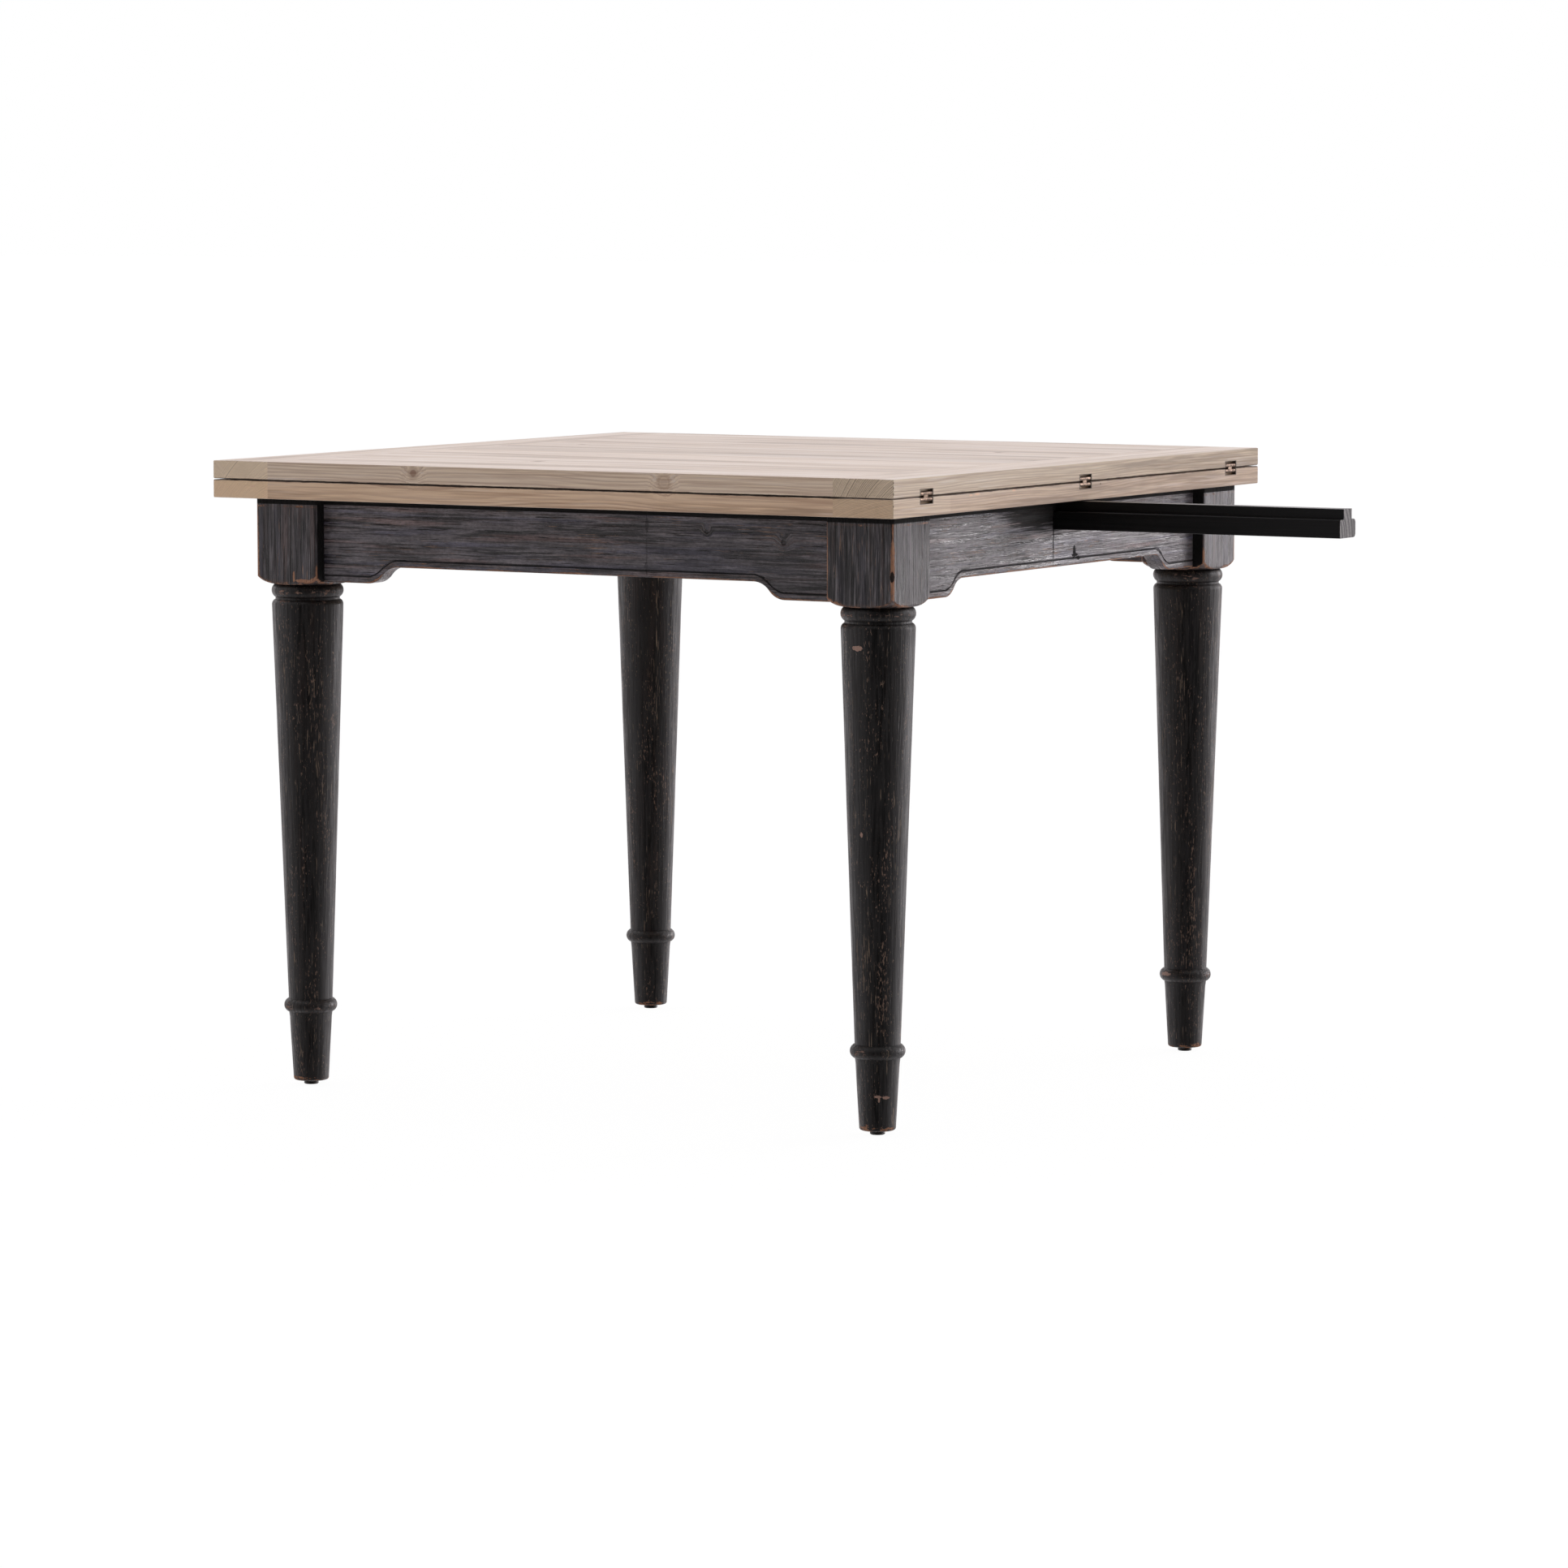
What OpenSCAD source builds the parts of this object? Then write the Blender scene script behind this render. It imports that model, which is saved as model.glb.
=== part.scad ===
// Extending dining table with a fold-over top.
// The upper leaf lies folded on the lower leaf. Three double-pin hinges carry it over to the right,
// where it lies level with the lower leaf on a slide that is drawn out of the apron.
// Millimetres. The origin is on the floor, midway between the four legs.
// +X points to the hinge edge, +Y to the back and +Z up.

/* [Top] */
// Height of the folded table above the floor
table_h = 770; // [740:1:790]
// Size of each leaf from the far edge to the hinge edge
top_w = 950; // [930:1:980]
// Size of each leaf from front to back
top_d = 950; // [900:1:980]
// Thickness of each leaf
leaf_t = 22; // [20:0.5:26]
// Gap between the folded leaves, and between the open leaves
leaf_gap = 1.2; // [1:0.1:2]
// How far the top stands out past the blocks at the hinge edge
over_hinge = 17; // [12:0.5:25]
// How far the top stands out past the blocks at the far edge
over_far = 42; // [30:0.5:50]
// How far the top stands out past the blocks at the front and the back
over_side = 29.5; // [20:0.5:40]
// Width of the boards that close the ends of the planks
end_board_w = 80; // [70:1:90]
// Rounding of the outer edges of the leaves
edge_ease = 1.2; // [0.6:0.1:2]
// Thickness of the tongues on the ends of the planks
tongue_t = 7; // [5:0.5:8]
// Length of the tongues on the ends of the planks
tongue_len = 10; // [6:0.5:14]
// Distance from the front and back edges at which the tongues stop
tongue_stop = 35; // [25:1:60]
// Diameter of the clear bumpers between the leaves
bumper_d = 8; // [5:0.5:12]
// Distance of the bumpers from the edges of the top
bumper_inset = 30; // [20:1:60]

/* [Legs] */
// Width of the square block at the top of a leg
block_w = 89; // [84:1:96]
// Rounding of the block's upright edges
block_edge_r = 3; // [1:0.5:6]
// Depth of the block's shoulder below the top's underside
block_h = 106; // [100:1:115]
// Radius of the turned shoulder under the block
shoulder_r = 30; // [28:1:40]
// Radius of the necks beside the upper bead
neck_r = 39.4; // [37:0.1:40]
// Radius of the upper bead at its fullest
bead_r = 44; // [42:0.5:46]
// Height of the upper bead
bead_h = 16.6; // [14:0.2:20]
// Height of the neck between the upper bead and the shaft
neck_h = 2; // [1:0.5:4]
// Radius of the shaft at its top
shaft_top_r = 43.7; // [42:0.1:46]
// Rounding at the top of the shaft
shaft_edge_r = 7; // [4:0.5:9]
// Radius of the shaft where it meets the ankle ring
ankle_r = 26.7; // [24:0.1:30]
// Height of the ankle ring's middle above the floor
ring_z = 98.7; // [80:0.1:140]
// Radius of the ankle ring at its fullest
ring_r = 32.6; // [31:0.1:36]
// Height of the ankle ring
ring_h = 16.8; // [12:0.2:20]
// Radius of the foot at its sole
sole_r = 21.6; // [19:0.1:24]
// Rounding of the sole's edge
sole_edge_r = 3; // [1:0.5:4]
// Flat cut on the block's inner corner for the corner brace
corner_cut = 10; // [8:0.5:14]

/* [Aprons] */
// Thickness of the apron boards
apron_t = 22; // [20:1:26]
// How far the aprons stand back from the faces of the blocks
apron_recess = 15.5; // [10:0.5:18]
// Height of the aprons at their middle
apron_h = 80.8; // [76:0.2:90]
// Depth of the drop from the apron's middle to its ends
drop_h = 20.5; // [14:0.5:24]
// Length of the curve that makes the drop
drop_w = 42; // [34:1:56]
// Distance from the block to the foot of the curve
drop_end = 64.5; // [55:0.5:80]
// Height of the routed line above the apron's lower edge
line_up = 8; // [6:0.5:10]
// Width of the routed line
line_w = 1.6; // [1:0.1:3]
// Depth of the routed line
line_depth = 1; // [0.5:0.1:2]
// Height of the groove for the top's buttons
button_groove_h = 8; // [7:0.5:9]
// Depth of the groove for the top's buttons
button_groove_depth = 8; // [6:0.5:10]

/* [Fold hinges] */
// Distance of the outer hinges from the front and back edges
hinge_inset = 78; // [70:1:110]
// Distance from the hinge pins to the face and the edge of their leaf
pin_inset = 2.8; // [2.6:0.05:3]
// Diameter of the hinge pins
pin_d = 2.4; // [2:0.1:2.6]
// Running clearance round the hinge pins
pin_fit = 0.05; // [0.02:0.01:0.08]
// Width of the link between the knuckles
link_w = 9.6; // [8:0.2:12]
// Thickness of the link between its pins
link_t = 3.6; // [3:0.1:4.4]
// Width of each knuckle
knuckle_w = 8.8; // [7:0.2:10]
// Clearance at the ends of the knuckles
knuckle_gap = 0.3; // [0.2:0.05:0.5]
// Length of the hinge plates from the pin
plate_len = 40; // [36:1:50]
// Distance of the plates' last screws from their inner ends
plate_screw_end = 8; // [6:0.5:10]
// Distance between a plate's two rows of screws
plate_screw_pitch = 15; // [12:0.5:17]
// Distance of the plates' screws from their long sides
plate_screw_side = 6; // [5:0.5:7]
// Thickness of the hinge plates
plate_t = 2; // [1.8:0.1:2.2]
// Depth of the notch that shows the knuckles
notch_depth = 8; // [7.5:0.1:9]
// Shank diameter of the hinge screws
hinge_screw_d = 3.2; // [2.6:0.1:3.6]
// Length of the hinge screws
hinge_screw_len = 14; // [10:0.5:16]

/* [Slide] */
// How far the slide stands out past the hinge edge
slide_reach = 348.5; // [300:0.5:370]
// Width of the slide's foot
slide_w = 43; // [36:1:48]
// Height of the slide's foot
slide_foot_h = 22; // [20:0.5:24]
// Width of the slide's upper rib
rib_w = 22; // [16:0.5:26]
// Height of the slide's upper rib
rib_h = 12.3; // [11:0.1:14]
// Rounding of the foot's front edges
slide_front_r = 1; // [0.5:0.5:5]
// Rounding of the foot's back edges
slide_back_r = 5; // [0.5:0.5:6]
// Clearance between the slide's top and the leaves
slide_gap = 0.8; // [0.3:0.1:1.2]
// Clearance between the slide and what guides it
guide_gap = 0.4; // [0.3:0.1:0.8]
// How far the slide's end stands out of the apron when it is pushed home
slide_lip = 15; // [8:1:25]
// Diameter of the stop peg
peg_d = 8; // [6:0.5:10]
// How far the stop peg stands out below the slide
peg_out = 14; // [10:0.5:20]
// Distance from the stop peg to the slide's inner end
peg_inset = 16; // [12:1:30]
// Width of the guide strips
strip_w = 36; // [30:1:40]
// Length of the block that ends the slide's travel
end_stop_len = 20; // [14:1:30]

/* [Underframe] */
// Distance of the cross bearer from the middle of the legs
bearer_x = 70; // [40:1:110]
// Width of the cross bearer
bearer_w = 40; // [36:1:50]
// Height of the cross bearer
bearer_h = 36; // [32:1:40]
// Length of the bearer's tenons
tenon_len = 10; // [8:0.5:14]
// Shoulder around the bearer's tenons
tenon_shoulder = 6; // [4:0.5:8]
// Thickness of the corner braces
brace_t = 24; // [20:1:28]
// Height of the corner braces
brace_h = 60; // [55:1:64]
// Distance from the top's underside to the corner braces
brace_drop = 8; // [6:0.5:12]
// Depth of the brace screws' heads in the brace
brace_screw_sink = 5; // [3:0.5:6]
// Diameter of the hanger bolts
bolt_d = 8; // [6:0.5:10]
// Depth of the hanger bolts in the leg
bolt_depth = 50; // [35:1:55]
// Height between the two hanger bolts of a leg
bolt_pitch = 30; // [26:1:34]
// Thickness of the bolt washers
washer_t = 2; // [1.5:0.1:3]
// Outer diameter of the bolt washers
washer_d = 24; // [18:1:26]
// Height of the bolt nuts
nut_h = 6.5; // [5:0.1:8]
// Width across the flats of the bolt nuts
nut_w = 13; // [12:0.5:17]
// Length of the wood screws
screw_len = 28; // [25:0.5:30]
// Shank diameter of the wood screws
screw_d = 4; // [3:0.1:4.5]
// Thickness of the buttons that hold the top
button_h = 18; // [16:0.5:20]
// Width of the buttons along the apron
button_w = 30; // [20:1:40]
// Length of the buttons out from the apron
button_len = 30; // [24:1:36]
// Distance of a button's screw from the apron
button_screw_out = 13; // [10:0.5:16]
// Distance of the buttons from the middle of their apron
button_spread = 200; // [160:1:240]
// Diameter of the foot glides
glide_d = 18; // [14:0.5:20]
// Height of the foot glides
glide_h = 5.5; // [4:0.1:7]

/* [Hidden] */
plank_count = 9;
LEGS = ["leg_front_left", "leg_front_right", "leg_back_left", "leg_back_right"];
APRONS = ["apron_front", "apron_back", "apron_left", "apron_right"];
BRACES = ["brace_front_left", "brace_front_right", "brace_back_left", "brace_back_right"];
FIXINGS = ["hanger_bolts", "bolt_washers", "bolt_nuts", "frame_screws", "top_buttons", "foot_glides"];
HINGES = [
    "hinge_plate_lower_front", "hinge_plate_lower_middle", "hinge_plate_lower_back",
    "hinge_plate_upper_front", "hinge_plate_upper_middle", "hinge_plate_upper_back",
    "hinge_link_front", "hinge_link_middle", "hinge_link_back",
    "hinge_pins_lower", "hinge_pins_upper", "hinge_screws_lower", "hinge_screws_upper"];
SLIDE = [
    "support_slide", "slide_peg", "guide_strip_front", "guide_strip_back", "slide_end_stop", "cross_bearer"];

$fn = 48;
paint = "#2a292b";
pine = "#cbbba9";
raw_wood = "#c9a77c";
slide_paint = "#1c1c1d";
antique_brass = "#8a7a62";
steel = "#9b9b9b";
glide_black = "#202020";
bumper_clear = "#e3e3df";

// Clearance of a pin, peg, screw or tenon that stays put in its hole
snug = 0.05;
// Extra length of every cut, so that it runs past the faces it opens
past = 1;
// The joints between planks fall on whole steps of this size
joint_step = 0.5;
// Number of straight steps that draw each quarter of a small rounding
round_steps = 5;
// Number of straight steps that draw each arc of the aprons and of the legs' shoulders
curve_steps = 8;

// Levels
leaf_under = table_h - 2 * leaf_t - leaf_gap;
seam_low = leaf_under + leaf_t;
seam_high = seam_low + leaf_gap;

// Edges of the top. It sits off the middle of the legs, away from the hinge edge
top_shift = (over_far - over_hinge) / 2;
hinge_x = top_w / 2 - top_shift;
far_x = -top_w / 2 - top_shift;
front_y = -top_d / 2;
plank_left = far_x + end_board_w;
plank_right = hinge_x - end_board_w;

// Legs and aprons
leg_span_x = top_w - over_hinge - over_far - block_w;
leg_span_y = top_d - 2 * over_side - block_w;
leg_x = leg_span_x / 2;
leg_y = leg_span_y / 2;
block_half = block_w / 2;
shoulder_z = leaf_under - block_h;
apron_x = leg_x + block_half - apron_recess;
apron_y = leg_y + block_half - apron_recess;
apron_len_x = leg_span_x - block_w;
apron_len_y = leg_span_y - block_w;
// From a leg's centre out to the inner faces of its two aprons
apron_out = block_half - apron_recess - apron_t;
groove_z = leaf_under - button_h;

// Hinges. The seam edges of the leaves are rounded just enough to pass each other when half open
hinge_spread = top_d / 2 - hinge_inset;
hinge_y = [-hinge_spread, 0, hinge_spread];
pin_x = hinge_x - pin_inset;
pin_z_low = seam_low - pin_inset;
pin_z_high = seam_high + pin_inset;
pin_pitch = pin_z_high - pin_z_low;
// Depth of the plates below the face of their leaf
plate_skin = 0.2;
// Room that the leaves' edges leave each other when half open
fold_play = 0.25;
// Free space round the knuckles in their notch, and round the link in its slot
notch_play = 0.6;
knuckle_r = pin_inset - plate_skin;
fold_edge_r = pin_inset - leaf_gap / (2 * sqrt(2) - 2) + fold_play;
knuckle_y = link_w / 2 + knuckle_gap;
hinge_w = 2 * (knuckle_y + knuckle_w);
notch_w = hinge_w + 2 * knuckle_gap;
notch_back = pin_inset + knuckle_r + notch_play;

// Slide
slide_top = leaf_under - slide_gap;
slide_ledge = slide_top - rib_h;
slide_bottom = slide_ledge - slide_foot_h;
slide_end = hinge_x + slide_reach;
slide_stroke = slide_end - apron_x - slide_lip;
bearer_left = bearer_x - bearer_w / 2;
peg_x = bearer_left - guide_gap - peg_d / 2;
slide_tail = peg_x - peg_inset;
end_stop_x = slide_tail - slide_stroke - guide_gap;
strip_left = end_stop_x - end_stop_len;
strip_right = apron_x - apron_t;
strip_h = leaf_under - slide_ledge - guide_gap;
strip_y = rib_w / 2 + guide_gap;
bearer_top = slide_bottom - guide_gap;

// Corner braces, measured from a leg's centre towards the middle of the table
brace_near = (block_w - corner_cut) / sqrt(2);
brace_far = brace_near + brace_t;
brace_top = leaf_under - brace_drop;
brace_mid = brace_top - brace_h / 2;
bolt_end = brace_far + washer_t + nut_h + bolt_d;

// Wood screws. A brace's screw stands on the brace's middle plane where it meets the apron
screw_head_d = 2 * screw_d;
strip_screw_y = (slide_w / 2 + strip_y + strip_w) / 2;
brace_screw_x = (brace_near + brace_t / 2) * sqrt(2) + apron_out;
brace_screw_seat = brace_screw_x - brace_far * sqrt(2) + brace_screw_sink;

function arc(cx, cz, r, from, to, steps) =
    [for (i = [0:steps]) let (a = from + (to - from) * i / steps) [cx + r * cos(a), cz + r * sin(a)]];

// Block between two opposite corners
module slab(low, high) {
    translate(low) cube(high - low);
}

// Mirrors what is drawn on the side of +X and +Y to the side x and y
module mirrored(x, y) {
    mirror([x < 0 ? 1 : 0, 0, 0]) mirror([0, y < 0 ? 1 : 0, 0]) children();
}

// Countersunk wood screw, its head's face at the origin and its point down
module wood_screw(len, d, head_d, fit = 0) {
    point_h = d;
    tip_r = d / 8;
    r = d / 2 + fit;
    head_h = (head_d - d) / 2;
    rotate_extrude() polygon([
        [0, fit], [head_d / 2 + fit, fit], [r, -head_h],
        [r, point_h - len], [tip_r, -len - fit], [0, -len - fit]]);
}

module frame_screw(fit = 0) {
    wood_screw(screw_len, screw_d, screw_head_d, fit);
}

// Leaves

// Outline of a leaf between a and b, its seam face at 0 and its body above.
// Its seam edge at b is rounded by seam_r
function leaf_outline(a, b, seam_r) =
    let (e = edge_ease)
    concat(
        arc(b - seam_r, seam_r, seam_r, -90, 0, round_steps),
        arc(b - e, leaf_t - e, e, 0, 90, round_steps),
        arc(a + e, leaf_t - e, e, 90, 180, round_steps),
        arc(a + e, e, e, 180, 270, round_steps));

// The stretch of a leaf between x0 and x1 and between y0 and y1, cut from the eased slab
module leaf_stretch(up, x0, x1, y0, y1) {
    translate([0, 0, up ? seam_high : seam_low]) mirror([0, 0, up ? 0 : 1]) intersection() {
        translate([0, y1, 0]) rotate([90, 0, 0]) linear_extrude(y1 - y0)
            polygon(leaf_outline(far_x, hinge_x, fold_edge_r));
        translate([x0, 0, 0]) rotate([90, 0, 90]) linear_extrude(x1 - x0)
            polygon(leaf_outline(front_y, -front_y, edge_ease));
    }
}

// Tongue zone at both ends of the planks, between y0 and y1
module tongues(up, y0, y1, fit = 0) {
    z_mid = (up ? seam_high : seam_low - leaf_t) + leaf_t / 2;
    reach = tongue_len + fit;
    half_t = tongue_t / 2 + fit;
    slab([plank_left - reach, y0, z_mid - half_t], [plank_right + reach, y1, z_mid + half_t]);
}

// Back edge of the plank at place i, counted from the front
function plank_edge(i) = round((front_y + i * top_d / plank_count) / joint_step) * joint_step;

module plank(up, i) {
    y0 = i == 1 ? front_y : plank_edge(i - 1);
    y1 = i == plank_count ? -front_y : plank_edge(i);
    leaf_stretch(up, plank_left, plank_right, y0, y1);
    tongues(up, max(y0, front_y + tongue_stop), min(y1, -front_y - tongue_stop));
}

module end_board(up, x0, x1) {
    difference() {
        leaf_stretch(up, x0, x1, front_y, -front_y);
        tongues(up, front_y + tongue_stop, -front_y - tongue_stop, snug);
    }
}

module lower_plank(i) {
    color(pine) difference() {
        plank(false, i);
        leaf_screw_set(snug);
    }
}

module lower_end_board_left() {
    color(pine) difference() {
        end_board(false, far_x, plank_left);
        leaf_screw_set(snug);
    }
}

module lower_end_board_right() {
    color(pine) difference() {
        end_board(false, plank_right, hinge_x);
        leaf_screw_set(snug);
        hinge_notches(false);
        hinge_screw_set(false, snug);
    }
}

module upper_plank(i) {
    color(pine) plank(true, i);
}

module upper_end_board_left() {
    color(pine) end_board(true, far_x, plank_left);
}

module upper_end_board_right() {
    color(pine) difference() {
        end_board(true, plank_right, hinge_x);
        hinge_notches(true);
        hinge_screw_set(true, snug);
    }
}

module leaf_bumpers() {
    x0 = far_x + bumper_inset;
    x1 = hinge_x - bumper_inset;
    y1 = top_d / 2 - bumper_inset;
    color(bumper_clear)
        for (x = [x0, x1], y = [-y1, y1])
            translate([x, y, seam_low]) cylinder(h = leaf_gap - snug, d = bumper_d);
}

// Legs

// Turned bead: a band of a circle that swells from the radius r_neck to r_full over the height h
module bead(z, r_neck, r_full, h) {
    swell = r_full - r_neck;
    r = (h * h / 4 + swell * swell) / (2 * swell);
    intersection() {
        translate([r_full - r, z]) circle(r);
        translate([0, z - h / 2]) square([r_full, h]);
    }
}

// Half of the turned part of a leg, from the sole to the neck under the block
module turning() {
    bead_top = shoulder_z;
    bead_mid = bead_top - bead_h / 2;
    shaft_top = bead_top - bead_h - neck_h;
    edge_drop = shaft_edge_r;
    polygon(concat(
        [[0, glide_h], [sole_r - sole_edge_r, glide_h]],
        arc(sole_r - sole_edge_r, glide_h + sole_edge_r, sole_edge_r, -90, 0, round_steps),
        [[ankle_r, ring_z], [shaft_top_r, shaft_top - edge_drop]],
        arc(shaft_top_r - shaft_edge_r, shaft_top - edge_drop, shaft_edge_r, 0, 90, round_steps),
        [[0, shaft_top]]));
    translate([0, shaft_top - edge_drop]) square([neck_r, bead_h + neck_h + edge_drop + shoulder_r / 4]);
    bead(bead_mid, neck_r, bead_r, bead_h);
    bead(ring_z, ankle_r, ring_r, ring_h);
}

// The solid of revolution that rounds the block's shoulder
module shoulder_turning() {
    corner_r = block_half * sqrt(2) + past;
    r0 = neck_r;
    reach = asin((corner_r - r0) / shoulder_r);
    polygon(concat(
        [[0, shoulder_z]],
        arc(r0, shoulder_z + shoulder_r, shoulder_r, -90, reach - 90, curve_steps),
        [[corner_r, leaf_under], [0, leaf_under]]));
}

module block_section() {
    r = block_edge_r;
    h = block_half;
    square([block_w, block_w - 2 * r], center = true);
    square([block_w - 2 * r, block_w], center = true);
    for (x = [r - h, h - r], y = [r - h, h - r])
        translate([x, y]) circle(r);
}

// Turns the X axis from a leg's centre towards the middle of the table
module to_middle() {
    rotate([0, 0, 225]) children();
}

// Places what is drawn about a leg's centre at the leg on the side x and y
module at_leg(x, y) {
    mirrored(x, y) translate([leg_x, leg_y, 0]) children();
}

module at_each_leg() {
    for (x = [-1, 1], y = [-1, 1])
        at_leg(x, y) children();
}

// A leg about its own centre, with its inner corner towards -X and -Y
module leg_body() {
    difference() {
        union() {
            intersection() {
                translate([0, 0, shoulder_z]) linear_extrude(block_h) block_section();
                rotate_extrude() shoulder_turning();
            }
            rotate_extrude() turning();
        }
        to_middle() {
            slab([brace_near, -block_w, brace_top - brace_h - brace_drop],
                 [block_w, block_w, leaf_under + past]);
            hanger_bolts_of_leg(snug);
        }
        foot_glide(snug);
    }
}

module leg(x, y) {
    color(paint) at_leg(x, y) leg_body();
}

// Glide with the nail that holds it in the foot
module foot_glide(fit = 0) {
    nail_r = 1.5 + fit;
    nail_len = 18;
    nail_top = glide_h + nail_len;
    sole_edge = 2;
    r = glide_d / 2;
    rotate_extrude() polygon(concat(
        [[0, 0]],
        arc(r - sole_edge, sole_edge, sole_edge, -90, 0, round_steps),
        [[r, glide_h], [nail_r, glide_h], [nail_r, nail_top], [0, nail_top + nail_r]]));
}

module foot_glides() {
    color(glide_black) at_each_leg() foot_glide();
}

// Aprons

// Lower edge of an apron, raised by lift: an ogee drop at each side joins its middle to its ends
function apron_edge(len, lift) =
    let (
        r = (drop_w * drop_w + drop_h * drop_h) / (4 * drop_h),
        a = asin(drop_w / 2 / r),
        x1 = len / 2 - drop_end,
        x0 = x1 - drop_w,
        z1 = leaf_under - apron_h - drop_h + lift,
        z0 = z1 + drop_h,
        right = concat(
            arc(x0, z0 - r, r, 90, 90 - a, curve_steps),
            arc(x1, z1 + r, r, 270 - a, 270, curve_steps),
            [[len / 2, z1]])
    )
    concat([for (i = [len(right) - 1:-1:0]) [-right[i][0], right[i][1]]], right);

// Apron board lying along X, its outer face at y = 0 and its body towards +Y
module apron_board(len) {
    edge = apron_edge(len, 0);
    line_low = apron_edge(len, line_up);
    line_high = apron_edge(len, line_up + line_w);
    last = len(line_high) - 1;
    difference() {
        translate([0, apron_t, 0]) rotate([90, 0, 0]) linear_extrude(apron_t)
            polygon(concat(edge, [[len / 2, leaf_under], [-len / 2, leaf_under]]));
        translate([0, line_depth, 0]) rotate([90, 0, 0]) linear_extrude(line_depth + past)
            polygon(concat(line_low, [for (i = [last:-1:0]) line_high[i]]));
        slab([-len / 2 - past, apron_t - button_groove_depth, groove_z - guide_gap],
             [len / 2 + past, apron_t + past, groove_z - guide_gap + button_groove_h]);
    }
}

// Places what is drawn in an apron board's own frame at the front, back, left or right
module at_front() {
    translate([0, -apron_y, 0]) children();
}

module at_back() {
    translate([0, apron_y, 0]) rotate([0, 0, 180]) children();
}

module at_left() {
    translate([-apron_x, 0, 0]) rotate([0, 0, -90]) children();
}

module at_right() {
    translate([apron_x, 0, 0]) rotate([0, 0, 90]) children();
}

module apron_front() {
    color(paint) difference() {
        at_front() apron_board(apron_len_x);
        bearer_tenons(snug);
        brace_screw_set(snug);
    }
}

module apron_back() {
    color(paint) difference() {
        at_back() apron_board(apron_len_x);
        bearer_tenons(snug);
        brace_screw_set(snug);
    }
}

module apron_left() {
    color(paint) difference() {
        at_left() apron_board(apron_len_y);
        brace_screw_set(snug);
    }
}

module apron_right() {
    color(paint) difference() {
        at_right() apron_board(apron_len_y);
        slide_path();
        brace_screw_set(snug);
    }
}

// Corner joints

module hanger_bolts_of_leg(fit = 0) {
    for (side = [-1, 1])
        translate([brace_near - bolt_depth - fit, 0, brace_mid + side * bolt_pitch / 2])
            rotate([0, 90, 0]) cylinder(h = bolt_end - brace_near + bolt_depth + fit, d = bolt_d + 2 * fit);
}

module hanger_bolts() {
    color(steel) at_each_leg() to_middle() hanger_bolts_of_leg();
}

// A washer or nut on each bolt of a leg, starting at the distance u from the leg's centre
module ring_on_bolts(u, h, d, sides) {
    for (side = [-1, 1])
        translate([u, 0, brace_mid + side * bolt_pitch / 2]) rotate([0, 90, 0]) difference() {
            cylinder(h = h, d = d, $fn = sides);
            translate([0, 0, -past]) cylinder(h = h + 2 * past, d = bolt_d + 2 * snug);
        }
}

module bolt_washers() {
    color(steel) at_each_leg() to_middle() ring_on_bolts(brace_far, washer_t, washer_d, $fn);
}

module bolt_nuts() {
    hexagon = 6;
    across_corners = nut_w / cos(180 / hexagon);
    color(steel) at_each_leg() to_middle()
        ring_on_bolts(brace_far + washer_t, nut_h, across_corners, hexagon);
}

// A brace's two screws into each of its two aprons, about a leg's centre, with room for the driver if asked
module brace_screws_of_leg(fit = 0, driver_room = 0) {
    for (z = [brace_mid - bolt_pitch / 2, brace_mid + bolt_pitch / 2]) {
        translate([-brace_screw_x, brace_screw_seat, z]) rotate([90, 0, 0]) sunk_screw(fit, driver_room);
        translate([brace_screw_seat, -brace_screw_x, z]) rotate([0, -90, 0]) sunk_screw(fit, driver_room);
    }
}

module sunk_screw(fit, driver_room) {
    frame_screw(fit);
    if (driver_room > 0)
        cylinder(h = driver_room, d = screw_head_d + 2 * snug);
}

module brace_screw_set(fit = 0) {
    at_each_leg() brace_screws_of_leg(fit);
}

module brace(x, y) {
    side = apron_out * sqrt(2);
    color(raw_wood) at_leg(x, y) difference() {
        to_middle() difference() {
            translate([0, 0, brace_top - brace_h]) linear_extrude(brace_h) polygon([
                [brace_near, -brace_near - side], [brace_far, -brace_far - side],
                [brace_far, brace_far + side], [brace_near, brace_near + side]]);
            hanger_bolts_of_leg(guide_gap / 2);
        }
        brace_screws_of_leg(snug, brace_t);
    }
}

// Fold hinges

// Pocket for a hinge's knuckles and plate, cut into both leaves at once about the seam
module hinge_notches(up) {
    z_face = up ? seam_high : seam_low;
    deep = up ? notch_depth : -notch_depth;
    plate = (up ? 1 : -1) * (plate_skin + plate_t + snug);
    open = (up ? -1 : 1) * past;
    for (y = hinge_y) {
        slab([hinge_x - notch_back, y - notch_w / 2, min(z_face + deep, z_face + open)],
             [hinge_x + past, y + notch_w / 2, max(z_face + deep, z_face + open)]);
        slab([pin_x - plate_len - snug, y - hinge_w / 2 - snug, min(z_face + plate, z_face + open)],
             [hinge_x + past, y + hinge_w / 2 + snug, max(z_face + plate, z_face + open)]);
    }
}

// Outline of a hinge plate seen from above: rounded inner corners and a slot for the link
module plate_section() {
    r = 4;
    slot_x = -knuckle_r - notch_play;
    difference() {
        union() {
            translate([r - plate_len, -hinge_w / 2]) square([plate_len - r, hinge_w]);
            translate([-plate_len, r - hinge_w / 2]) square([plate_len, hinge_w - 2 * r]);
            for (y = [r - hinge_w / 2, hinge_w / 2 - r])
                translate([r - plate_len, y]) circle(r);
        }
        translate([slot_x, -knuckle_y]) square([past - slot_x, 2 * knuckle_y]);
    }
}

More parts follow.
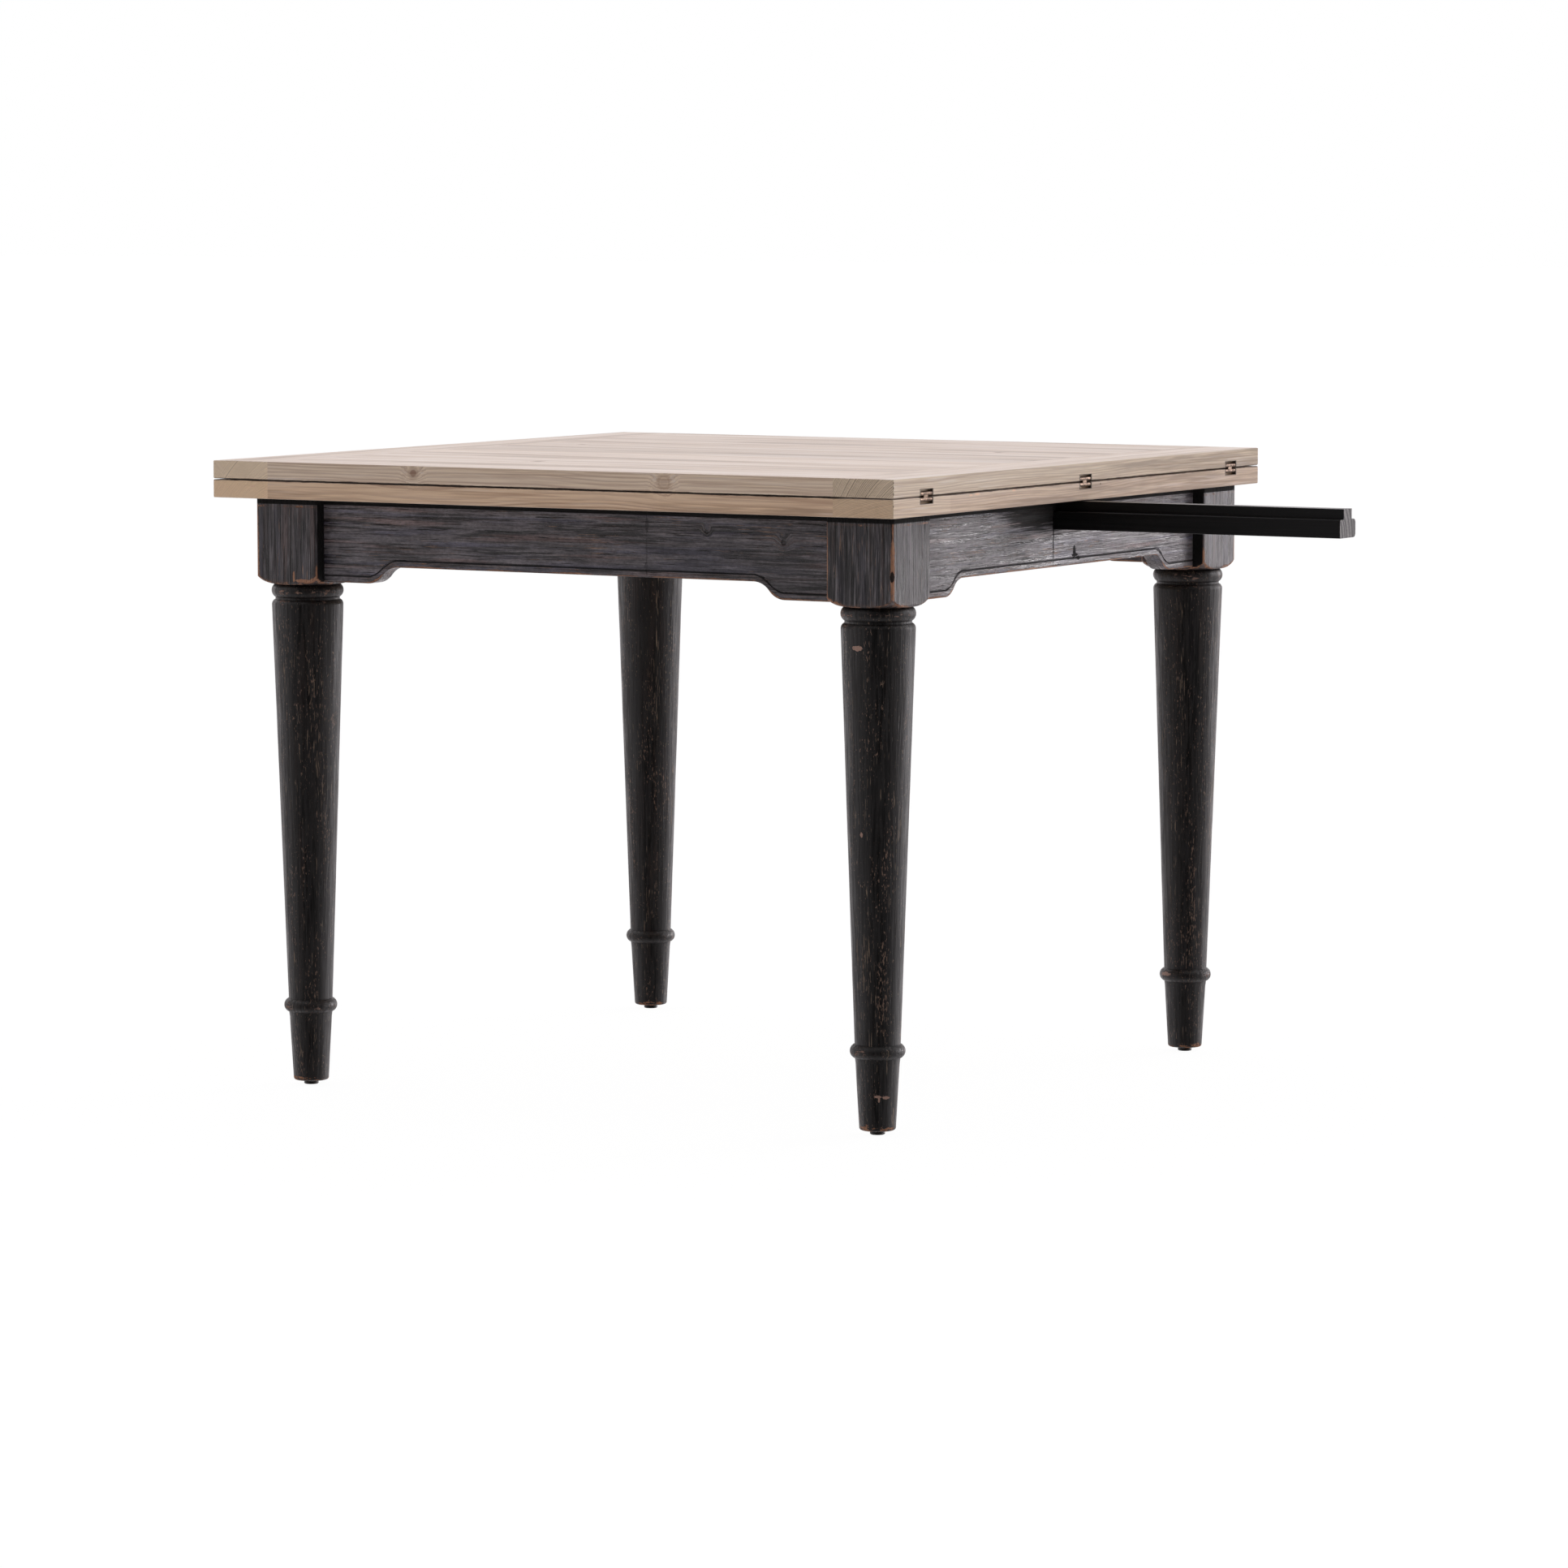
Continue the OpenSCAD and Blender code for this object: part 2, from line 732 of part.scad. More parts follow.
// Places of a plate's four screws, measured from its pin
function plate_screws() =
    let (last = plate_screw_end - plate_len)
    [for (x = [last, last + plate_screw_pitch], s = [-1, 1]) [x, s * (hinge_w / 2 - plate_screw_side)]];

// Hinge plate for the lower leaf, drawn about its pin: a screwed plate and two knuckles
module hinge_plate_body() {
    top = knuckle_r;
    difference() {
        union() {
            translate([0, 0, top - plate_t]) linear_extrude(plate_t) plate_section();
            for (y = [-knuckle_y - knuckle_w, knuckle_y])
                translate([0, y + knuckle_w, 0]) rotate([90, 0, 0]) cylinder(h = knuckle_w, r = knuckle_r);
        }
        translate([0, hinge_w / 2 + past, 0]) rotate([90, 0, 0])
            cylinder(h = hinge_w + 2 * past, d = pin_d + 2 * snug);
        plate_screws_at_pin(snug);
    }
}

module plate_screws_at_pin(fit = 0) {
    for (p = plate_screws())
        translate([p[0], p[1], knuckle_r])
            wood_screw(hinge_screw_len, hinge_screw_d, 2 * hinge_screw_d, fit);
}

// Places what is drawn about a lower pin at the lower leaf, or turned over at the upper leaf
module at_pin(up, y) {
    translate([pin_x, y, up ? pin_z_high : pin_z_low]) mirror([0, 0, up ? 1 : 0]) children();
}

module hinge_plate(up, i) {
    color(antique_brass) at_pin(up, hinge_y[i]) hinge_plate_body();
}

module hinge_link(i) {
    color(antique_brass) translate([pin_x, hinge_y[i] + link_w / 2, pin_z_low]) rotate([90, 0, 0])
        linear_extrude(link_w) difference() {
            union() {
                circle(knuckle_r);
                translate([0, pin_pitch]) circle(knuckle_r);
                translate([-link_t / 2, 0]) square([link_t, pin_pitch]);
            }
            circle(d = pin_d + 2 * pin_fit);
            translate([0, pin_pitch]) circle(d = pin_d + 2 * pin_fit);
        }
}

module hinge_pins(up) {
    color(antique_brass)
        for (y = hinge_y)
            at_pin(up, y) translate([0, hinge_w / 2, 0]) rotate([90, 0, 0]) cylinder(h = hinge_w, d = pin_d);
}

module hinge_screw_set(up, fit = 0) {
    for (y = hinge_y)
        at_pin(up, y) plate_screws_at_pin(fit);
}

module hinge_screws(up) {
    color(antique_brass) hinge_screw_set(up);
}

// Slide

// Outline of the slide seen from its end: a foot with rounded edges under a narrower rib
module slide_section() {
    front = slide_front_r;
    back = slide_back_r;
    y = slide_w / 2;
    rib_y = rib_w / 2;
    polygon(concat(
        arc(y - back, slide_bottom + back, back, -90, 0, round_steps),
        arc(y - back, slide_ledge - back, back, 0, 90, round_steps),
        [[rib_y, slide_ledge], [rib_y, slide_top], [-rib_y, slide_top], [-rib_y, slide_ledge]],
        arc(front - y, slide_ledge - front, front, 90, 180, round_steps),
        arc(front - y, slide_bottom + front, front, 180, 270, round_steps)));
}

// Opening for the slide in the right apron, open to the top
module slide_path() {
    x0 = apron_x - apron_t - past;
    x1 = apron_x + past;
    foot_y = slide_w / 2 + guide_gap;
    rib_y = rib_w / 2 + guide_gap;
    slab([x0, -foot_y, slide_bottom - guide_gap], [x1, foot_y, slide_ledge + guide_gap]);
    slab([x0, -rib_y, slide_ledge], [x1, rib_y, leaf_under + past]);
}

module support_slide() {
    color(slide_paint) difference() {
        translate([slide_tail, 0, 0]) rotate([90, 0, 90])
            linear_extrude(slide_end - slide_tail) slide_section();
        peg(snug);
    }
}

module peg(fit = 0) {
    in_slide = 14;
    translate([peg_x, 0, slide_bottom - peg_out]) cylinder(h = peg_out + in_slide + fit, d = peg_d + 2 * fit);
}

module slide_peg() {
    color(raw_wood) peg();
}

module guide_strip(side) {
    y0 = side > 0 ? strip_y : -strip_y - strip_w;
    color(raw_wood) difference() {
        slab([strip_left, y0, leaf_under - strip_h], [strip_right, y0 + strip_w, leaf_under]);
        leaf_screw_set(snug);
    }
}

module slide_end_stop() {
    y = strip_y - snug;
    color(raw_wood) difference() {
        slab([strip_left, -y, leaf_under - strip_h], [end_stop_x, y, leaf_under]);
        leaf_screw_set(snug);
    }
}

module bearer_tenons(fit = 0) {
    inner_y = apron_y - apron_t;
    inset = tenon_shoulder - fit;
    end_y = inner_y + tenon_len + fit;
    slab([bearer_left + inset, -end_y, bearer_top - bearer_h + inset],
         [bearer_left + bearer_w - inset, end_y, bearer_top - inset]);
}

module cross_bearer() {
    inner_y = apron_y - apron_t;
    color(raw_wood) {
        slab([bearer_left, -inner_y, bearer_top - bearer_h], [bearer_left + bearer_w, inner_y, bearer_top]);
        bearer_tenons();
    }
}

// Buttons and wood screws that hold the top and the guides

module each_button() {
    for (s = [-button_spread, button_spread]) {
        at_front() translate([s, 0, 0]) children();
        at_back() translate([s, 0, 0]) children();
        at_left() translate([s, 0, 0]) children();
        at_right() translate([s, 0, 0]) children();
    }
}

module button() {
    tongue_h = button_groove_h - 2 * guide_gap;
    difference() {
        union() {
            slab([-button_w / 2, apron_t + snug, groove_z], [button_w / 2, apron_t + button_len, leaf_under]);
            slab([-button_w / 2, apron_t - button_groove_depth + guide_gap, groove_z],
                 [button_w / 2, apron_t + past, groove_z + tongue_h]);
        }
        button_screw(snug);
    }
}

module button_screw(fit = 0) {
    translate([0, apron_t + button_screw_out, groove_z]) mirror([0, 0, 1]) frame_screw(fit);
}

module top_buttons() {
    color(raw_wood) each_button() button();
}

// Screws that go up into the lower leaf: through the buttons, the guide strips and the end stop
module leaf_screw_set(fit = 0) {
    each_button() button_screw(fit);
    strip_ends = 40;
    strip_mid = (strip_left + strip_right) / 2;
    for (x = [strip_left + strip_ends, strip_mid, strip_right - strip_ends], side = [-1, 1])
        translate([x, side * strip_screw_y, leaf_under - strip_h]) mirror([0, 0, 1]) frame_screw(fit);
    translate([end_stop_x - end_stop_len / 2, 0, leaf_under - strip_h]) mirror([0, 0, 1]) frame_screw(fit);
}

module frame_screws() {
    color(steel) {
        leaf_screw_set();
        brace_screw_set();
    }
}

leg(-1, -1);  // leg_front_left
leg(1, -1);  // leg_front_right
leg(-1, 1);  // leg_back_left
leg(1, 1);  // leg_back_right
apron_front();
apron_back();
apron_left();
apron_right();
brace(-1, -1);  // brace_front_left
brace(1, -1);  // brace_front_right
brace(-1, 1);  // brace_back_left
brace(1, 1);  // brace_back_right
hanger_bolts();
bolt_washers();
bolt_nuts();
frame_screws();
top_buttons();
foot_glides();
hinge_plate(false, 0);  // hinge_plate_lower_front
hinge_plate(false, 1);  // hinge_plate_lower_middle
hinge_plate(false, 2);  // hinge_plate_lower_back
hinge_plate(true, 0);  // hinge_plate_upper_front
hinge_plate(true, 1);  // hinge_plate_upper_middle
hinge_plate(true, 2);  // hinge_plate_upper_back
hinge_link(0);  // hinge_link_front
hinge_link(1);  // hinge_link_middle
hinge_link(2);  // hinge_link_back
hinge_pins(false);  // hinge_pins_lower
hinge_pins(true);  // hinge_pins_upper
hinge_screws(false);  // hinge_screws_lower
hinge_screws(true);  // hinge_screws_upper
support_slide();
slide_peg();
guide_strip(-1);  // guide_strip_front
guide_strip(1);  // guide_strip_back
slide_end_stop();
cross_bearer();
lower_end_board_left();
lower_end_board_right();
upper_end_board_left();
upper_end_board_right();
for (i = [1:plank_count])
    lower_plank(i);
for (i = [1:plank_count])
    upper_plank(i);
leaf_bumpers();
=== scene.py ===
"""Looks of a fold-over dining table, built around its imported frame.

Every shape is in metres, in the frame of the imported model: the origin on the floor midway between
the legs, +X towards the hinges and the slide, +Y to the back and +Z up.
"""

import math
import random

import bmesh
import bpy
import numpy as np
from mathutils import Matrix, Vector


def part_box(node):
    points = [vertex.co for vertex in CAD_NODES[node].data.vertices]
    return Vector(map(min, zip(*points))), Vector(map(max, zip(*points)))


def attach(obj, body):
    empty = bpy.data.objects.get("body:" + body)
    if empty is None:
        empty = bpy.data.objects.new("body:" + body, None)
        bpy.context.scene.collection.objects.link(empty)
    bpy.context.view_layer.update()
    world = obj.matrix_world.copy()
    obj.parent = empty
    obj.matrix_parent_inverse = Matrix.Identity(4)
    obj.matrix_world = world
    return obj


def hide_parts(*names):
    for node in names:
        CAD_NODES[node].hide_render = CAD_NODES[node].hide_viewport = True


bl_info = {
    "name": "Fold-over dining table",
    "version": (1, 0, 0),
    "blender": (4, 5, 0),
    "location": "View3D > Sidebar > Table",
    "description": "Dresses the table's legs, rails, leaves, slide and fittings in wood, paint and metal",
    "category": "Object",
}

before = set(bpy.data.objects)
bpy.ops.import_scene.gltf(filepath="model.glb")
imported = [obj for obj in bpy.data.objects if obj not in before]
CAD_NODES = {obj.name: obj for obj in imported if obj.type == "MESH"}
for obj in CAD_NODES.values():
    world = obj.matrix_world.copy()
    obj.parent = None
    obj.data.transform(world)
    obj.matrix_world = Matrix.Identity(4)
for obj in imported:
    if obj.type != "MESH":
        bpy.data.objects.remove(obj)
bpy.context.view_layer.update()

MM = 0.001
UP = (0.0, 0.0, 1.0)
LEG_NAMES = ("leg_front_left", "leg_front_right", "leg_back_left", "leg_back_right")
APRON_NAMES = ("apron_front", "apron_back", "apron_left", "apron_right")
LEAVES = ("lower", "upper")
HINGE_PLACES = ("front", "middle", "back")
PLANK_COUNT = 9
LEAF_BODY = {"lower": "frame", "upper": "upper_leaf"}

# Places in metres; what lies at the front has a minus before its y
HINGE_EDGE = 0.4625  # x of the leaves' edge with the hinges
LEAF_SIDE = 0.475  # y of the leaves' back edge
LEAF_MIDDLE = -0.0125  # x midway along the leaves
LEAF_FACE = 0.770  # height of the upper leaf's face
SEAM = 0.7474  # height of the gap between the leaves
HINGE_Y = 0.397  # y of the back hinge
RAIL_FACE = 0.430  # x or y of the rails' outer faces
BLOCK_FACE = 0.445  # y of the back blocks' outer faces


# ---------------------------------------------------------------- node trees


class Wire:
    """What a node puts out; sums written with wires add the nodes that work them out."""

    def __init__(self, bench, socket):
        self.bench = bench
        self.socket = socket

    def __add__(self, other):
        return self.bench.math("ADD", self, other)

    def __sub__(self, other):
        return self.bench.math("SUBTRACT", self, other)

    def __rsub__(self, other):
        return self.bench.math("SUBTRACT", other, self)

    def __mul__(self, other):
        return self.bench.math("MULTIPLY", self, other)

    def __truediv__(self, other):
        return self.bench.math("DIVIDE", self, other)

    def __rtruediv__(self, other):
        return self.bench.math("DIVIDE", other, self)

    def __abs__(self):
        return self.bench.math("ABSOLUTE", self)


class Bench:
    """A node tree being built: adds nodes, fills or joins their inputs and hands back their outputs."""

    def __init__(self, tree):
        self.tree = tree
        self.given = {}  # a group's own inputs

    def fill(self, sockets, wires):
        """Joins or sets sockets, each picked by number or name; colours may leave out their alpha."""
        for key, value in wires.items():
            socket = sockets[key] if isinstance(key, int) else next(
                s for s in sockets if s.name == key and s.enabled)
            if isinstance(value, Wire):
                self.tree.links.new(value.socket, socket)
            elif socket.type == "RGBA":
                socket.default_value = (*value, 1.0)[:4]
            else:
                socket.default_value = value

    def put(self, kind, wires=None, **settings):
        """Adds a node."""
        node = self.tree.nodes.new(kind)
        for key, value in settings.items():
            setattr(node, key, value)
        self.fill(node.inputs, wires or {})
        return node

    def out(self, kind, wires=None, pick=None, **settings):
        """Adds a node and returns one of its outputs, the first in use unless one is picked."""
        outputs = self.put(kind, wires, **settings).outputs
        return Wire(self, next(s for s in outputs if s.enabled) if pick is None else outputs[pick])

    def math(self, how, *values, clamp=False):
        return self.out("ShaderNodeMath", dict(enumerate(values)), operation=how, use_clamp=clamp)

    def most(self, first, *others):
        """The greatest of several values."""
        for other in others:
            first = self.math("MAXIMUM", first, other)
        return first

    def least(self, first, other):
        return self.math("MINIMUM", first, other)

    def vector(self, how, *values, scale=None):
        wires = dict(enumerate(values))
        if scale is not None:
            wires["Scale"] = scale
        return self.out("ShaderNodeVectorMath", wires, operation=how)

    def join(self, x, y, z):
        return self.out("ShaderNodeCombineXYZ", {0: x, 1: y, 2: z})

    def split(self, vector):
        return [Wire(self, s) for s in self.put("ShaderNodeSeparateXYZ", {0: vector}).outputs]

    def step(self, value, low, high, start=0.0, end=1.0):
        """Turns value smoothly from start to end while it goes from low to high."""
        wires = {"Value": value, "From Min": low, "From Max": high, "To Min": start, "To Max": end}
        return self.out("ShaderNodeMapRange", wires, interpolation_type="SMOOTHSTEP")

    def noise(self, place, scale, detail=2.0, rough=0.5, pick="Fac"):
        """Noise at a place; three scales are for its three axes."""
        if isinstance(scale, tuple):
            place, scale = self.vector("MULTIPLY", place, scale), 1.0
        wires = {"Vector": place, "Scale": scale, "Detail": detail, "Roughness": rough}
        return self.out("ShaderNodeTexNoise", wires, pick)

    def mix(self, share, first, second, how="MIX"):
        """Goes from the first colour to the second as share goes from 0 to 1."""
        return self.out("ShaderNodeMix", {0: share, 6: first, 7: second}, 2, data_type="RGBA", blend_type=how)

    def times(self, colour, tint):
        """A colour times another colour or a number."""
        return self.mix(1.0, colour, tint, "MULTIPLY")

    def ramp(self, value, stops):
        """A colour ramp of (place, colour) stops."""
        node = self.put("ShaderNodeValToRGB", {0: value})
        ramp = node.color_ramp
        while len(ramp.elements) < len(stops):
            ramp.elements.new(0.5)
        for element, (place, colour) in zip(ramp.elements, stops):
            element.position = place
            element.color = (*colour, 1.0)
        return Wire(self, node.outputs["Color"])

    def read(self, name, pick="Fac"):
        """A value kept on the piece's own points."""
        return self.out("ShaderNodeAttribute", None, pick, attribute_name=name)

    def use(self, group, wires):
        """Places a node group and returns its outputs by name."""
        return {s.name: Wire(self, s) for s in self.put("ShaderNodeGroup", wires, node_tree=group).outputs}

    def shaded(self, pick="Object"):
        """A coordinate of what is being shaded: its place, or for Normal the way it faces."""
        return self.out("ShaderNodeTexCoord", pick=pick)

    def bump(self, height, distance, strength):
        return self.out("ShaderNodeBump", {"Height": height, "Distance": distance, "Strength": strength})

    def give(self, results):
        """Joins the group's outputs by name and ends the group."""
        self.fill(self.tree.nodes.new("NodeGroupOutput").inputs, results)
        return self.tree


def new_tree(name, inputs, outputs, kind="ShaderNodeTree"):
    """Starts a node group; inputs are (name, type) or (name, type, default), outputs (name, type)."""
    tree = bpy.data.node_groups.new(name, kind)
    for label, what, *default in inputs:
        socket = tree.interface.new_socket(label, in_out="INPUT", socket_type="NodeSocket" + what)
        if default:
            socket.default_value = default[0]
    for label, what in outputs:
        tree.interface.new_socket(label, in_out="OUTPUT", socket_type="NodeSocket" + what)
    bench = Bench(tree)
    bench.given = {s.name: Wire(bench, s) for s in tree.nodes.new("NodeGroupInput").outputs}
    return bench


def inputs_of(tree):
    return [s for s in tree.interface.items_tree if s.in_out == "INPUT"]


def empty_bench(owner):
    """The emptied node tree of a material or world."""
    owner.use_nodes = True
    owner.node_tree.nodes.clear()
    return Bench(owner.node_tree)


def once(build):
    """Keeps what a builder without arguments made the first time."""
    made = []

    def get():
        if not made:
            made.append(build())
        return made[0]

    return get


# ---------------------------------------------------------------- shared finish effects


@once
def pine_figure():
    """Growth rings, fibres and soft bands of sawn pine, at a place measured from the tree's heart."""
    b = new_tree(
        "Pine figure",
        [("Grain", "Vector"), ("Ring gap", "Float", 0.003), ("Wander", "Float", 0.006)],
        [("Late wood", "Float"), ("Fibre", "Float"), ("Band", "Float")])
    grain = b.given["Grain"]
    along, across, deep = b.split(grain)
    drift = b.noise(grain, (2.2, 9.0, 9.0), pick="Color")
    drift = b.vector("SUBTRACT", drift, (0.5, 0.5, 0.5))
    fine = b.noise(grain, (9.0, 60.0, 60.0), pick="Color")
    fine = b.vector("SCALE", b.vector("SUBTRACT", fine, (0.5, 0.5, 0.5)), scale=0.12)
    shift = b.vector("SCALE", b.vector("ADD", drift, fine), scale=b.given["Wander"])
    heart = b.vector("ADD", b.join(0.0, across, deep), b.vector("MULTIPLY", shift, (0.0, 4.0, 4.0)))
    turn = b.vector("LENGTH", heart) / b.given["Ring gap"]
    turn = turn + b.noise(b.join(turn, 0.0, 0.0), 0.35, 1.0) * 2.5
    part = b.math("FRACT", turn)
    faint = b.step(b.noise(b.join(turn, along * 1.5, 0.0), 0.8, 1.0), 0.3, 0.7)
    late = b.step(part, 0.30, 0.90) * b.step(part, 0.92, 1.0, 1.0, 0.0) * (faint * 0.6 + 0.4)
    fibre = b.noise(grain, (14.0, 520.0, 520.0), 3.0, 0.62)
    band = b.noise(grain, (1.6, 30.0, 30.0), 5.0, 0.66)
    return b.give({"Late wood": late, "Fibre": fibre, "Band": band})


@once
def knot_mark():
    """A small knot: its dark core, the ring round it and how far it pushes the grain aside."""
    b = new_tree(
        "Knot",
        [("Place", "Vector"), ("Centre", "Vector"), ("Size", "Float", 0.005), ("Dark", "Float", 1.0)],
        [("Core", "Float"), ("Ring", "Float"), ("Push", "Float")])
    away = b.vector("SUBTRACT", b.given["Place"], b.given["Centre"])
    ragged = b.noise(b.given["Place"], 260.0) * 0.5 + 0.75
    far = b.vector("LENGTH", away) / (b.given["Size"] * ragged)
    return b.give({
        "Core": b.step(far, 0.55, 1.0, 1.0, 0.0) * b.given["Dark"],
        "Ring": b.step(far, 0.7, 1.0) * b.step(far, 1.0, 1.7, 1.0, 0.0),
        "Push": b.step(far, 0.6, 3.6, 1.0, 0.0),
    })


@once
def chip_mark():
    """A small ragged chip, as wide as its reach along each axis."""
    b = new_tree(
        "Chip",
        [("Place", "Vector"), ("Centre", "Vector"), ("Reach", "Vector", (0.01, 0.01, 0.01)),
         ("Depth", "Float", 1.0)],
        [("Chip", "Float")])
    away = b.vector("DIVIDE", b.vector("SUBTRACT", b.given["Place"], b.given["Centre"]), b.given["Reach"])
    far = b.vector("LENGTH", away) + b.noise(b.given["Place"], 420.0, 3.0, 0.6) * 0.9
    return b.give({"Chip": b.step(far, 1.15, 1.3, 1.0, 0.0) * b.given["Depth"]})


def marks_at(b, group, place, rows):
    """A knot or chip for every row, which gives the group's inputs after Place in their order."""
    labels = [s.name for s in inputs_of(group)]
    return [b.use(group, dict(zip(labels, (place, *row)))) for row in rows]


def strongest(b, marks, output):
    return b.most(*[mark[output] for mark in marks])


def chips_at(b, place, rows):
    """The strongest of the chips with the given centres, reaches and, where they aren't full, depths."""
    return strongest(b, marks_at(b, chip_mark(), place, rows), "Chip")


@once
def rubbed_edge():
    """Where paint is rubbed through: near an edge, broken up by noise that runs with the grain."""
    b = new_tree(
        "Rubbed edge",
        [("Grain", "Vector"), ("Wear", "Float"), ("Amount", "Float", 0.5)],
        [("Bare", "Float"), ("Thin", "Float")])
    grain, wear = b.given["Grain"], b.given["Wear"]
    patch = b.noise(grain, (22.0, 34.0, 34.0), 3.0, 0.6)
    speck = b.noise(grain, (140.0, 420.0, 420.0), 3.0, 0.7) + b.noise(grain, 300.0, 3.0, 0.7)
    level = wear * b.given["Amount"] + (patch * 1.1 + (speck * 0.8 - 0.3) * 0.5)
    return b.give({
        "Bare": b.step(level, 1.30, 1.42) * b.step(wear, 0.02, 0.2),
        "Thin": b.step(level, 1.05, 1.35) * b.step(wear, 0.0, 0.4),
    })


@once
def painted_wood():
    """Dark paint over sawn pine: streaks, cracks, thin flecks where the paint has gone, fine relief."""
    b = new_tree(
        "Painted wood",
        [("Grain", "Vector"), ("Paint", "Color"), ("Light streak", "Color"), ("Under coat", "Color"),
         ("Flecks", "Float", 0.5)],
        [("Colour", "Color"), ("Relief", "Float"), ("Streak", "Float")])
    grain, colour = b.given["Grain"], b.given["Paint"]
    fine = b.noise(grain, (26.0, 720.0, 720.0), 3.0, 0.6)
    broad = b.noise(grain, (12.0, 290.0, 290.0), 3.0, 0.6)
    brush = b.noise(grain, (3.5, 75.0, 75.0), 3.0, 0.55)
    cloud = b.noise(grain, (6.0, 24.0, 24.0), 3.0)
    streak = fine * 0.34 + broad * 0.46 + brush * 0.20
    paint = b.mix(b.step(streak, 0.44, 0.50), b.times(colour, (0.20, 0.195, 0.19)), colour)
    paint = b.mix(b.step(streak, 0.50, 0.58), paint, b.given["Light streak"])
    cool = b.noise(grain, (5.0, 110.0, 110.0))
    paint = b.mix(b.step(cool, 0.52, 0.68, 0.0, 0.6), paint, b.times(colour, (0.95, 1.02, 1.32)))
    paint = b.mix(b.step(cool, 0.46, 0.32, 0.0, 0.5), paint, b.times(colour, (1.9, 1.35, 1.15)))
    thread = b.noise(grain, (34.0, 820.0, 820.0))
    where = b.noise(grain, (8.0, 60.0, 60.0))
    low = 0.78 - b.given["Flecks"] * 0.2
    fleck = b.step(thread + (where - 0.5) * 0.55, low, low + 0.04)
    paint = b.mix(fleck * 0.8, paint, b.given["Under coat"])
    crack = b.step(b.noise(grain, (20.0, 560.0, 560.0)), 0.36, 0.30)
    paint = b.mix(crack, paint, (0.003, 0.003, 0.003))
    mottle = b.step(b.noise(grain, (20.0, 42.0, 42.0), 4.0, 0.6), 0.32, 0.68, 0.74, 1.30)
    relief = fine * 0.08 + broad * 0.55 + brush * 0.9 + cloud * 0.6 - fleck * 0.12 - crack * 0.25
    return b.give({"Colour": b.times(paint, mottle), "Relief": relief, "Streak": streak})


# ---------------------------------------------------------------- materials


def start_material(name, colour):
    """A named material with one Principled shader; colour is what the 3D view shows."""
    material = bpy.data.materials.new(name)
    material.diffuse_color = (*colour, 1.0)
    b = empty_bench(material)
    shader = b.put("ShaderNodeBsdfPrincipled")
    b.put("ShaderNodeOutputMaterial", {"Surface": Wire(b, shader.outputs[0])})
    return material, b, shader.inputs


